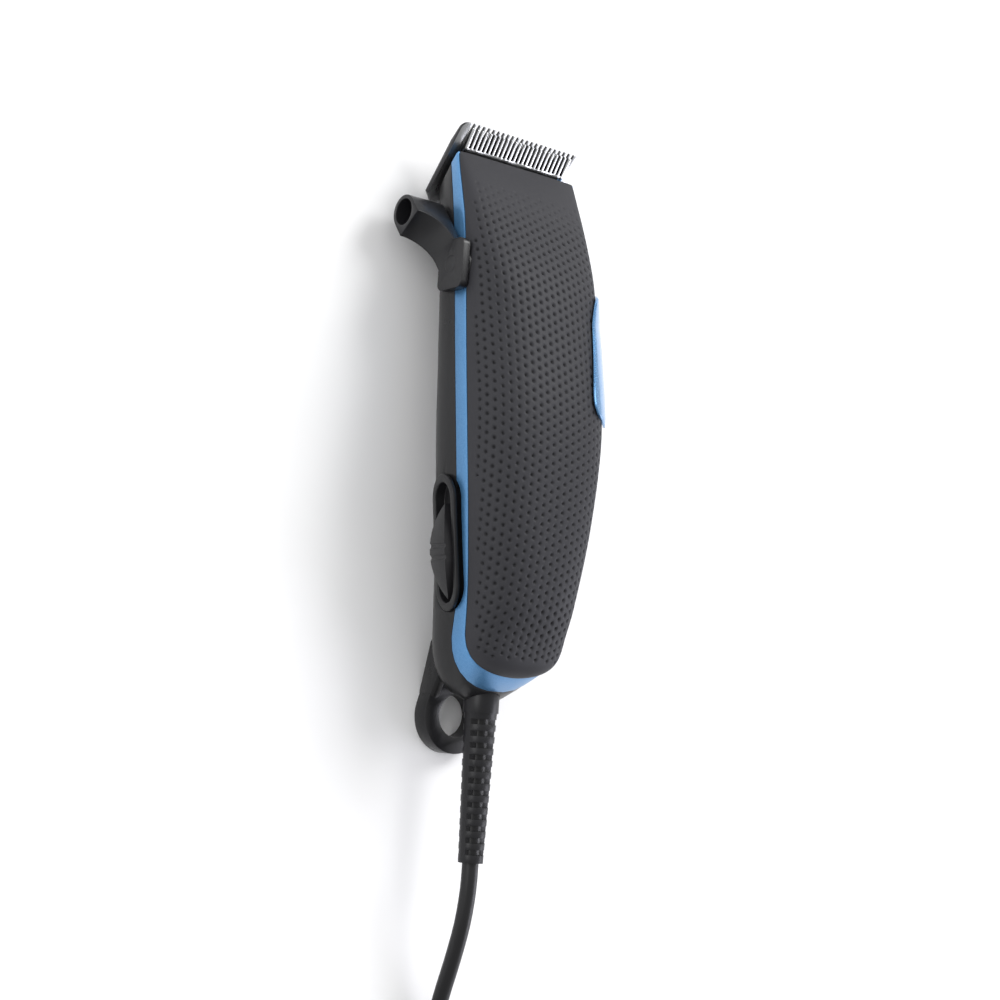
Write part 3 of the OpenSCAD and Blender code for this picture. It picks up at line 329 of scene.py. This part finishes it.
def soften(piece, width, segments=2):
    """Rounds the sharp edges of a piece."""
    bevel = piece.modifiers.new("edges", "BEVEL")
    bevel.width, bevel.segments = width, segments
    bevel.limit_method, bevel.angle_limit = "ANGLE", ROUNDED_FROM
    apply_modifiers(piece)
    piece.data.shade_smooth()
    piece.data.set_sharp_from_angle(angle=SOFT_CREASE)


def refined(name, node, finish, width=0.0, segments=2):
    """A copy of a machined CAD piece with its flat faces joined and its edges rounded."""
    source = frame["nodes"][node]
    bm = bmesh.new()
    bm.from_mesh(source.data)
    bmesh.ops.remove_doubles(bm, verts=bm.verts, dist=WELD)
    bmesh.ops.dissolve_limit(bm, angle_limit=FLAT, verts=bm.verts, edges=bm.edges)
    piece = to_piece(name, bm, finish, source["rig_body"], node)
    if width:
        soften(piece, width, segments)
    return piece


OVAL_SIDES = 40


def oval_ring(bm, length, width, height):
    """One ring of a flat oval, long in X, at a height."""
    ring = []
    reach = (length - width) / 2
    for i in range(OVAL_SIDES):
        a = 2 * math.pi * (i + 0.5) / OVAL_SIDES
        x = width / 2 * math.cos(a) + math.copysign(reach, math.cos(a))
        ring.append(bm.verts.new((x, width / 2 * math.sin(a), height)))
    return [bm.edges.new((ring[i - 1], ring[i])) for i in range(OVAL_SIDES)]


def lofted(rings):
    """A closed body through flat ovals: (length, width, height) for each."""
    bm = bmesh.new()
    edges = [oval_ring(bm, *ring) for ring in rings]
    for low, high in zip(edges, edges[1:]):
        bmesh.ops.bridge_loops(bm, edges=low + high)
    for end in (edges[0], edges[-1]):
        bmesh.ops.contextual_create(bm, geom=end)
    bmesh.ops.recalc_face_normals(bm, faces=bm.faces)
    return bm


PLUG_Y, PLUG_Z, PLUG_LEN = -0.274, 0.007, 0.034
PIN_PITCH, PIN_R, PIN_LEN = 0.0186, 0.002, 0.019
RIBS, RIB_PITCH = 4, 1.8


def plug_frame(bm):
    """Turns a body that was built up along Z to run along -Y from the cord's end."""
    turn = Matrix.Translation((0, PLUG_Y, PLUG_Z)) @ Matrix.Rotation(math.pi / 2, 4, "X")
    bmesh.ops.transform(bm, matrix=turn, verts=bm.verts)


# The plug's outline in ovals, from the cord to the face of the pins, in millimetres
plug_rings = [(7.2, 7.2, 0), (7.8, 7.8, 1.2)]
for rib in range(RIBS):
    wider, thicker, further = rib, 0.7 * rib, RIB_PITCH * rib
    plug_rings += [(8.2 + wider, 8 + thicker, 2.2 + further),
                   (7.2 + wider, 7.2 + thicker, 2.9 + further),
                   (7.3 + wider, 7.3 + thicker, 3.4 + further)]
plug_rings += [(15, 11, 10.2), (22, 12.6, 12.5), (28.6, 13.4, 15.6), (32, 13.6, 19),
               (32.6, 13.6, 22), (31.6, 13.4, 26), (31.8, 13.5, 30), (32.6, 13.6, 32.6),
               (32, 13.2, 33.7), (30.6, 12, 34)]
bm = lofted([tuple(v * MM for v in ring) for ring in plug_rings])
plug_frame(bm)
plug_vinyl = moulded("plug_vinyl", (0.010, 0.010, 0.011), 0.42, 2500, Specular_IOR_Level=0.3)
plug = to_piece("plug", bm, plug_vinyl, "housing", "plug_body")

steel_pin = Finish("pin_nickel", Metallic=1.0, Base_Color=(0.62, 0.60, 0.55, 1))
steel_pin.feed(Roughness=steel_pin.spread(
    steel_pin.noise(900.0, 3.0, steel_pin.place((1, 0.05, 1))), 0.3, 0.7, 0.16, 0.34))
shank = 0.99 * PIN_R
pin_outline = [(0, 0), (shank, 0), (shank, PIN_LEN - 0.0012), (0.8 * PIN_R, PIN_LEN - 0.0003),
               (0.45 * PIN_R, PIN_LEN), (0, PIN_LEN)]
bm = bmesh.new()
for side in (-1, 1):
    verts = [bm.verts.new((side * PIN_PITCH / 2 + r, 0, PLUG_LEN + h))
             for r, h in pin_outline]
    edges = [bm.edges.new(pair) for pair in zip(verts, verts[1:])]
    bmesh.ops.spin(bm, geom=verts + edges, cent=(side * PIN_PITCH / 2, 0, 0), axis=(0, 0, 1),
                   angle=2 * math.pi, steps=24, use_merge=True)
bmesh.ops.remove_doubles(bm, verts=bm.verts, dist=0.00001)
bmesh.ops.recalc_face_normals(bm, faces=bm.faces)
plug_frame(bm)
pins = to_piece("plug_pin_pair", bm, steel_pin, "housing", "plug_pins")

tape = Finish("strap_tape", Base_Color=(0.014, 0.014, 0.016, 1), Roughness=0.85)
weave = tape.node("ShaderNodeTexWave", {"wave_type": "BANDS", "bands_direction": "Y"},
                  {"Vector": tape.place(), "Scale": 420.0, "Distortion": 1.5})
tape.feed(Normal=tape.bump(weave, 0.0002, 0.6),
          Base_Color=tape.tint(weave, (0.010, 0.010, 0.011), (0.028, 0.028, 0.031)))
STRAP_HALF, STRAP_TOP, STRAP_Y, STRAP_W = 0.0233, 0.0168, -0.176, 0.009
STRAP_CORNER, STRAP_THICK = 0.0035, 0.0009
bm = bmesh.new()
bmesh.ops.create_cube(bm, size=1)
bmesh.ops.transform(bm, verts=bm.verts, matrix=Matrix.Translation(
    (HANK_X * MM, STRAP_Y, STRAP_TOP / 2)) @ Matrix.Diagonal(
    (2 * STRAP_HALF, STRAP_W, STRAP_TOP, 1)))
ends = [f for f in bm.faces if abs(f.normal.y) > 0.9]
bmesh.ops.delete(bm, geom=ends, context="FACES_ONLY")
corners = [e for e in bm.edges if len(e.link_faces) == 2]
bmesh.ops.bevel(bm, geom=corners, offset=STRAP_CORNER, segments=6, profile=0.5,
                affect="EDGES", material=-1, offset_type="OFFSET")
bmesh.ops.recalc_face_normals(bm, faces=bm.faces)
bmesh.ops.solidify(bm, geom=bm.faces[:], thickness=STRAP_THICK)
strap = to_piece("cord_strap", bm, tape, "housing", "cord_tie")

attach(mains_cord, "housing")
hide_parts("cord", "cord_hank")

# ---- Rear housing ---------------------------------------------------------------------------
# The lower half shell, moulded in satin black plastic with its hanging loop, screw wells and
# bosses. Everything else is mounted in it, and three screws from below hold the cover on it.

back_plastic = moulded("housing_plastic", (0.009, 0.009, 0.010), 0.30, 5200, 0.000012, 0.10,
                       Specular_IOR_Level=0.32)
refined("rear_shell", "rear_housing", back_plastic, 0.00035)

# ---- Strain relief, clamp and leads ---------------------------------------------------------
# The strain relief is soft vinyl moulded round the cord, with windows that let it bend. A
# bridge clamps it inside the housing, and the cores run on to the switch and the coil.

relief_vinyl = moulded("relief_vinyl", (0.008, 0.008, 0.0095), 0.40, 2600, 0.00001, 0.08,
                       Specular_IOR_Level=0.28)
refined("bend_relief", "strain_relief", relief_vinyl, 0.00022)


def dress(finish, *nodes):
    """Gives CAD pieces a finish in place of their plain colour."""
    for node in nodes:
        for slot in frame["nodes"][node].material_slots:
            slot.material = finish.material


dress(cord_black, "cord_inner")
cream_plastic = moulded("cream_plastic", (0.62, 0.56, 0.45), 0.42, 4000, 0.00001, 0.05)
dress(cream_plastic, "cord_clamp", "coil_bobbin", "blade_guide")
lead_vinyl = moulded("lead_vinyl", (0.30, 0.035, 0.03), 0.4, 3500, 0.00001, 0.05)
dress(lead_vinyl, "lead_wires")

# ---- Vibrator motor -------------------------------------------------------------------------
# A laminated core with a coil pulls the armature on the end of the drive arm. The arm swings
# on a leaf spring beside an anchor block, between two coil springs that the power screw loads.


def turned_metal(name, shade, rough, lines=(1, 1, 1), scale=900.0, deep=0.000006):
    """Bare metal with the fine marks of its grinding, which lie along one axis."""
    made = Finish(name, Metallic=1.0)
    marks = made.noise(scale, 4.0, made.place(lines), 0.6)
    stain = made.noise(45.0, 3.0)
    made.feed(Base_Color=made.tint(made.spread(stain, 0.35, 0.65), shade,
                                   tuple(c * 0.86 for c in shade)),
              Roughness=made.spread(marks, 0.3, 0.7, rough - 0.06, rough + 0.08),
              Normal=made.bump(marks, deep, 0.6))
    return made


lamination = turned_metal("core_laminations", (0.36, 0.37, 0.40), 0.42, (0.02, 0.02, 1),
                          2600.0, 0.00002)
dress(lamination, "stator_core", "armature")
plain_steel = turned_metal("plain_steel", (0.55, 0.56, 0.58), 0.32)
spring_steel = turned_metal("spring_steel", (0.50, 0.51, 0.54), 0.28, (1, 0.05, 1))
arm_alloy = turned_metal("arm_alloy", (0.66, 0.67, 0.69), 0.40)
winding = Finish("copper_winding", Metallic=1.0, Coat_Roughness=0.15)
turns = winding.node("ShaderNodeTexWave", {"bands_direction": "Y"},
                     {"Vector": winding.place(), "Scale": 900.0, "Distortion": 0.6, "Detail": 1.0})
winding.feed(Base_Color=winding.tint(turns, (0.36, 0.13, 0.05), (0.78, 0.36, 0.17)),
             Roughness=winding.spread(turns, 0, 1, 0.42, 0.26),
             Normal=winding.bump(turns, 0.0001, 0.8))
dress(winding, "coil_winding")
dress(arm_alloy, "drive_arm")
dress(plain_steel, "arm_anchor", "arm_rivets", "drive_pin", "lever_shaft")
dress(spring_steel, "leaf_spring", "return_spring_left", "return_spring_right", "blade_spring")
zinc_steel = turned_metal("zinc_screw_steel", (0.62, 0.62, 0.62), 0.30)
dress(zinc_steel, "core_screws", "anchor_screws", "power_screw", "housing_screws", "blade_screws")

# ---- Blades ---------------------------------------------------------------------------------
# The fixed blade is screwed to the housing, and the moving blade slides across on top of it.
# Both are hardened steel, ground bright along the teeth and honed on their meeting faces.

BLADE_HALF_W, TIPS_FROM, TIP_CORNER = 0.023, 0.0275, 0.0026
BLADE_TILT = math.radians(40.5)
BLADE_HEEL = Vector((0, 0.144585, 0))
BLADE_ALONG = Vector((0, math.cos(BLADE_TILT), math.sin(BLADE_TILT)))
BLADE_UP = Vector((0, -math.sin(BLADE_TILT), math.cos(BLADE_TILT)))


def toothed_steel(name, flat, flank_shade, rough, lines):
    """Ground steel with painted shade: faces turned along X, the tooth flanks, get a dark colour
    that stands in for the shade between the teeth.
    """
    made = turned_metal(name, flat, rough, lines, 700.0)
    normal_for_shade = made.node("ShaderNodeNewGeometry", output=1)
    across = made.node("ShaderNodeSeparateXYZ", None, {0: normal_for_shade})
    # Painted shade: the more a face turns along X, the nearer its colour comes to the dark flank
    # colour
    side = made.spread(abs(across), 0.25, 0.7)
    made.feed(Base_Color=made.tint(side, flat, flank_shade))
    return made


# Painted shade: the comb's tooth flanks get a near-black colour for the shade between the teeth
blade_steel = toothed_steel("ground_blade_steel", (0.42, 0.425, 0.43), (0.05, 0.05, 0.052), 0.30,
                            (1, 0.06, 0.06))
fixed_blade = refined("comb_blade", "fixed_blade", blade_steel)
bm = bmesh.new()
bm.from_mesh(fixed_blade.data)


def at_outer_tip(vert):
    along = (vert.co - BLADE_HEEL).dot(BLADE_ALONG)
    return abs(abs(vert.co.x) - BLADE_HALF_W) < 0.0001 and along > TIPS_FROM


# The two outer teeth have round tips, so the comb's corners don't scratch
tip_edges = [e for e in bm.edges if all(at_outer_tip(v) for v in e.verts)
             and abs((e.verts[1].co - e.verts[0].co).normalized().dot(BLADE_UP)) > 0.9]
bmesh.ops.bevel(bm, geom=tip_edges, offset=TIP_CORNER, segments=6, profile=0.5,
                affect="EDGES", material=-1, offset_type="OFFSET")
bm.to_mesh(fixed_blade.data)
bm.free()
soften(fixed_blade, 0.00012)
# Painted shade: the cutter's tooth flanks get a near-black colour for the shade between the teeth
cutter_steel = toothed_steel("honed_cutter_steel", (0.62, 0.625, 0.63), (0.04, 0.04, 0.042), 0.2,
                             (0.06, 1, 1))
refined("cutter_blade", "moving_blade", cutter_steel, 0.00009)

# ---- Taper lever ----------------------------------------------------------------------------
# A black plastic lever with a hollow thumb tube, held on its shaft by a screw. Its eccentric
# pin moves the follower, which carries the moving blade nearer to the teeth or away.

lever_plastic = moulded("lever_plastic", (0.010, 0.010, 0.0115), 0.34, 5200, 0.000012, 0.10,
                        Specular_IOR_Level=0.34)
refined("thumb_lever", "taper_lever", lever_plastic, 0.0004, 3)
dress(lever_plastic, "taper_follower")

# A flush cap is pressed in over the lever's screw
CAP_R, CAP_FACE, CAP_DEEP, CAP_EDGE = 0.0027, -0.02676, 0.0022, 0.0003
low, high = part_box("lever_screw")
bm = bmesh.new()
bmesh.ops.create_cone(bm, cap_ends=True, segments=48, radius1=CAP_R, radius2=CAP_R, depth=CAP_DEEP)
rims = [e for e in bm.edges if abs(e.verts[0].co.z - e.verts[1].co.z) < 0.0001]
bmesh.ops.bevel(bm, geom=rims, offset=CAP_EDGE, segments=3, profile=0.5, affect="EDGES",
                material=-1, offset_type="OFFSET")
bmesh.ops.transform(bm, verts=bm.verts, matrix=Matrix.Translation(
    (CAP_FACE + CAP_DEEP / 2, (low.y + high.y) / 2, (low.z + high.z) / 2))
    @ Matrix.Rotation(math.pi / 2, 4, "Y"))
to_piece("lever_cap", bm, lever_plastic, "lever", "lever_screw")

# ---- Side band ------------------------------------------------------------------------------
# A blue trim band lies in the joint of the two shells. It is plastic with a satin metallic
# lacquer, and a narrow dark gap parts it from the cover.


def lacquer(name, rough, coat, coat_rough):
    """Blue metallic lacquer: fine flakes under a clear coat."""
    made = Finish(name, Metallic=0.72, Coat_Roughness=coat_rough)
    flakes = made.node("ShaderNodeTexVoronoi", {"feature": "F1"},
                       {"Vector": made.place(), "Scale": 5200.0}, 1)
    glint = made.node("ShaderNodeSeparateColor", None, {0: flakes})
    made.feed(Base_Color=made.tint(glint, (0.075, 0.230, 0.47), (0.118, 0.305, 0.56)),
              Roughness=made.spread(glint, 0, 1, rough - 0.05, rough + 0.05),
              Coat_Weight=made.spread(made.noise(60.0), 0.3, 0.7, coat - 0.05, coat),
              Normal=made.bump(glint, 0.000006, 0.3))
    return made


band_lacquer = lacquer("band_lacquer", 0.40, 0.35, 0.25)
refined("trim_band", "side_band", band_lacquer, 0.0003, 3)

# ---- Front cover ----------------------------------------------------------------------------
# The upper half shell, moulded in grey and painted with a soft-touch lacquer. Rows of small
# conical dimples give grip all over it, except along its edges.

# Sections of the body: share of its length, of the half width and of the height, and the
# height of the band's middle. Lengths are in millimetres.
SECTIONS = ((0.00, 0.73, 0.80, 27.6), (0.09, 0.725, 0.86, 27.0), (0.16, 0.75, 0.945, 28.2),
            (0.31, 0.88, 1.00, 29.9), (0.48, 0.99, 0.995, 29.8), (0.62, 1.00, 0.915, 27.1),
            (0.76, 0.98, 0.795, 23.7), (0.87, 0.965, 0.62, 20.7), (1.00, 0.95, 0.385, 15.3))
WIDTH, HEIGHT, SEAM = 1, 2, 3
LAST = len(SECTIONS) - 1
END_Y, BODY_LEN, HALF_W, BODY_H = -4.0, 160.0, 24.0, 46.5
LIP_Y = END_Y + BODY_LEN
NOSE_LEN, NOSE_H_LEN = 16.0, 9.0
COVER_BACK, SLOPE_REACH = 4.2, 21.0
BAND_H, BAND_END_H, SEAM_GAP = 5.2, 7.6, 0.25
BAND_END_SHARE, BAND_TIP_SHARE, BAND_TIP_LOSS = 0.14, 0.87, 0.35
SQUARENESS, LIP_SQUARER, SQUARE_FROM = 2.7, 3, 0.7
WALL, LEAST_RISE, LEAST_WIDTH = 2.2, 0.3, 0.3
ARC_STEPS = 240


def slope(k, c):
    """How steeply a measure of the sections runs at section k."""
    low, high = SECTIONS[max(k - 1, 0)], SECTIONS[min(k + 1, LAST)]
    return (high[c] - low[c]) / (high[0] - low[0])


def along_body(share, c):
    """A measure of the body's sections at a share of its length."""
    k = max(i for i in range(LAST) if i == 0 or share >= SECTIONS[i][0])
    a, b = SECTIONS[k], SECTIONS[k + 1]
    h = b[0] - a[0]
    t = (share - a[0]) / h
    u = 1 - t
    return (a[c] * (1 + 2 * t) * u * u + b[c] * t * t * (3 - 2 * t)
            + h * t * u * (slope(k, c) * u - slope(k + 1, c) * t))


def round_off(distance, length):
    """The round nose: 0 at the cord end, 1 once the nose has its full size."""
    t = 1 - min(1.0, distance / length)
    return (1 - t ** 2.2) ** (1 / 2.2)


def band_height(share):
    """Height of the trim band that the cover stands on."""
    if share < BAND_END_SHARE:
        return BAND_END_H - (BAND_END_H - BAND_H) * share / BAND_END_SHARE
    past = max(0.0, share - BAND_TIP_SHARE) / (1 - BAND_TIP_SHARE)
    return BAND_H * (1 - BAND_TIP_LOSS * past)


def cover_arc(y, inset, places):
    """Points on the cover's arc at y, evenly spaced, and their distance from its middle."""
    share = (y - END_Y) / BODY_LEN
    width = HALF_W * along_body(share, WIDTH) * round_off(y - END_Y, NOSE_LEN)
    seam = along_body(share, SEAM)
    edge = band_height(share) / 2 + SEAM_GAP
    full_rise = BODY_H * along_body(share, HEIGHT) - seam - edge
    rise = edge + full_rise * round_off(y - END_Y, NOSE_H_LEN)
    power = SQUARENESS + LIP_SQUARER * max(0.0, share - SQUARE_FROM) / (1 - SQUARE_FROM)
    w = max(width - inset, LEAST_WIDTH * width)
    h = max(rise - inset, edge + LEAST_RISE) if inset else rise
    fade = max(0.0, 1 - (y - END_Y) / SLOPE_REACH) ** 2
    set_back = y + inset * (LIP_Y - y) / BODY_LEN + COVER_BACK * fade
    start = math.asin(min(1.0, (edge / h) ** (power / 2)))
    line = []
    for i in range(ARC_STEPS + 1):
        a = start + (math.pi - 2 * start) * i / ARC_STEPS
        c = math.cos(a)
        line.append((math.copysign(abs(c) ** (2 / power), c) * w,
                     seam + h * math.sin(a) ** (2 / power)))
    reach = [0.0]
    for (x0, z0), (x1, z1) in zip(line, line[1:]):
        reach.append(reach[-1] + math.hypot(x1 - x0, z1 - z0))
    half = reach[-1] / 2
    made, i = [], 0
    for k in range(places + 1):
        want = reach[-1] * k / places
        while i < ARC_STEPS - 1 and reach[i + 1] < want:
            i += 1
        step = reach[i + 1] - reach[i]
        t = (want - reach[i]) / step if step > 0 else 0.0
        x = line[i][0] + t * (line[i + 1][0] - line[i][0])
        z = line[i][1] + t * (line[i + 1][1] - line[i][1])
        made.append((Vector((x, set_back, z)) * MM, want - half, half))
    return made


DIMPLE_PITCH, DIMPLE_COLUMN, DIMPLE_R, DIMPLE_DEEP = 2.75, 2.38, 0.80, 0.56
SMOOTH_EDGE = 3.4
DIMPLES_FROM, DIMPLES_TO = 3, 147
FADE_FROM, FADE_LEN, FADE_LOSS = 132, 14, 0.7


def dimple(across, half, y):
    """Depth of the dimples at a place on the cover. They get shallow towards the blades."""
    deep = 0.0
    column = round(across / DIMPLE_COLUMN)
    for i in (column - 1, column, column + 1):
        if abs(i * DIMPLE_COLUMN) > half - SMOOTH_EDGE:
            continue
        shift = DIMPLE_PITCH / 2 if i % 2 else 0.0
        j = round((y - shift) / DIMPLE_PITCH)
        middle = j * DIMPLE_PITCH + shift
        if not DIMPLES_FROM < middle < DIMPLES_TO:
            continue
        r = math.hypot(across - i * DIMPLE_COLUMN, y - middle) / DIMPLE_R
        if r < 1:
            shallow = 1 - FADE_LOSS * ease((middle - FADE_FROM) / FADE_LEN)
            deep = max(deep, DIMPLE_DEEP * shallow * (1 - r ** 1.6) ** 1.3)
    return deep


def cover_skin(bm, across, nose_rows, body_rows, inset):
    """A grid wrapped on the cover's skin: rounded at the cord end, open at the blades."""
    rows = nose_rows + body_rows
    made = bmesh.ops.create_grid(bm, x_segments=across, y_segments=rows, size=1)
    arcs = []
    for k in range(rows + 1):
        if k < nose_rows:
            y = END_Y + NOSE_LEN * (1 - math.cos(math.pi / 2 * k / nose_rows))
        else:
            y = END_Y + NOSE_LEN + (BODY_LEN - NOSE_LEN) * (k - nose_rows) / body_rows
        arcs.append((y, cover_arc(y, inset, across)))
    where = {}
    for vert in made["verts"]:
        column = round((vert.co.x + 1) / 2 * across)
        row = round((vert.co.y + 1) / 2 * rows)
        y, arc = arcs[row]
        vert.co = arc[column][0]
        where[vert] = (arc[column][1], arc[column][2], y)
    return where


def rim_edges(bm, skin):
    chosen = {v for v in skin if v.is_valid}
    return [e for e in bm.edges if len(e.link_faces) == 1 and e.verts[0] in chosen]


# Squares across the skin, along its nose and along the rest
OUTER_GRID, INNER_GRID = (190, 40, 372), (38, 8, 60)
bm = bmesh.new()
pit = bm.verts.layers.float.new("pit")
outer = cover_skin(bm, *OUTER_GRID, 0.0)
bm.normal_update()
for vert, (across, half, y) in outer.items():
    deep = dimple(across, half, y)
    if deep:
        up = vert.normal if vert.normal.z > 0 else -vert.normal
        vert.co -= up * deep * MM
        # Each dimple's depth share is stored to drive the painted shade in the pits
        vert[pit] = deep / DIMPLE_DEEP
inner = cover_skin(bm, *INNER_GRID, WALL)
bmesh.ops.remove_doubles(bm, verts=bm.verts, dist=WELD)
bmesh.ops.bridge_loops(bm, edges=rim_edges(bm, outer) + rim_edges(bm, inner))
bmesh.ops.recalc_face_normals(bm, faces=bm.faces)

soft_touch = Finish("soft_touch_grey", Specular_IOR_Level=0.14)
wear = soft_touch.noise(28.0, 4.0)
# Painted shade: the deeper a place lies in a dimple, the nearer its colour comes to near-black,
# standing in for the shade in the pits
pit_shade_mask = soft_touch.node("ShaderNodeAttribute", {"attribute_name": "pit"}, output=2)
lacquered = soft_touch.tint(wear, (0.031, 0.031, 0.0355), (0.038, 0.038, 0.043))
soft_touch.feed(
    Base_Color=soft_touch.tint(soft_touch.spread(pit_shade_mask, 0.1, 0.9), lacquered,
                               (0.009, 0.009, 0.010)),
    Roughness=soft_touch.spread(wear, 0.3, 0.7, 0.50, 0.58),
    Normal=soft_touch.bump(soft_touch.noise(4200.0, 2.0), 0.000015, 0.5))
to_piece("grip_cover", bm, soft_touch, "housing", "front_cover")

# ---- Flank inlay ----------------------------------------------------------------------------
# A glossy blue badge plate on the right flank of the cover, with a bevelled rim. It is pressed
# into a shallow seat and glued.

inlay_lacquer = lacquer("inlay_lacquer", 0.24, 1.0, 0.04)
refined("badge_plate", "flank_inlay", inlay_lacquer, 0.00035, 3)

# ---- Switch ---------------------------------------------------------------------------------
# The slide switch sits in a recess of the left side: a bezel, a button with two grooves on
# its crown, and inside the housing a carrier and the contact block.

switch_plastic = moulded("switch_plastic", (0.007, 0.007, 0.008), 0.34, 5200, 0.000012, 0.10,
                         Specular_IOR_Level=0.3)
refined("switch_frame", "switch_bezel", switch_plastic, 0.0003, 3)
button_plastic = moulded("button_plastic", (0.012, 0.012, 0.0135), 0.38, 4200, 0.000015, 0.10,
                         Specular_IOR_Level=0.32)
refined("switch_thumb_piece", "switch_button", button_plastic, 0.0003, 3)
dress(switch_plastic, "switch_carrier", "switch_block")
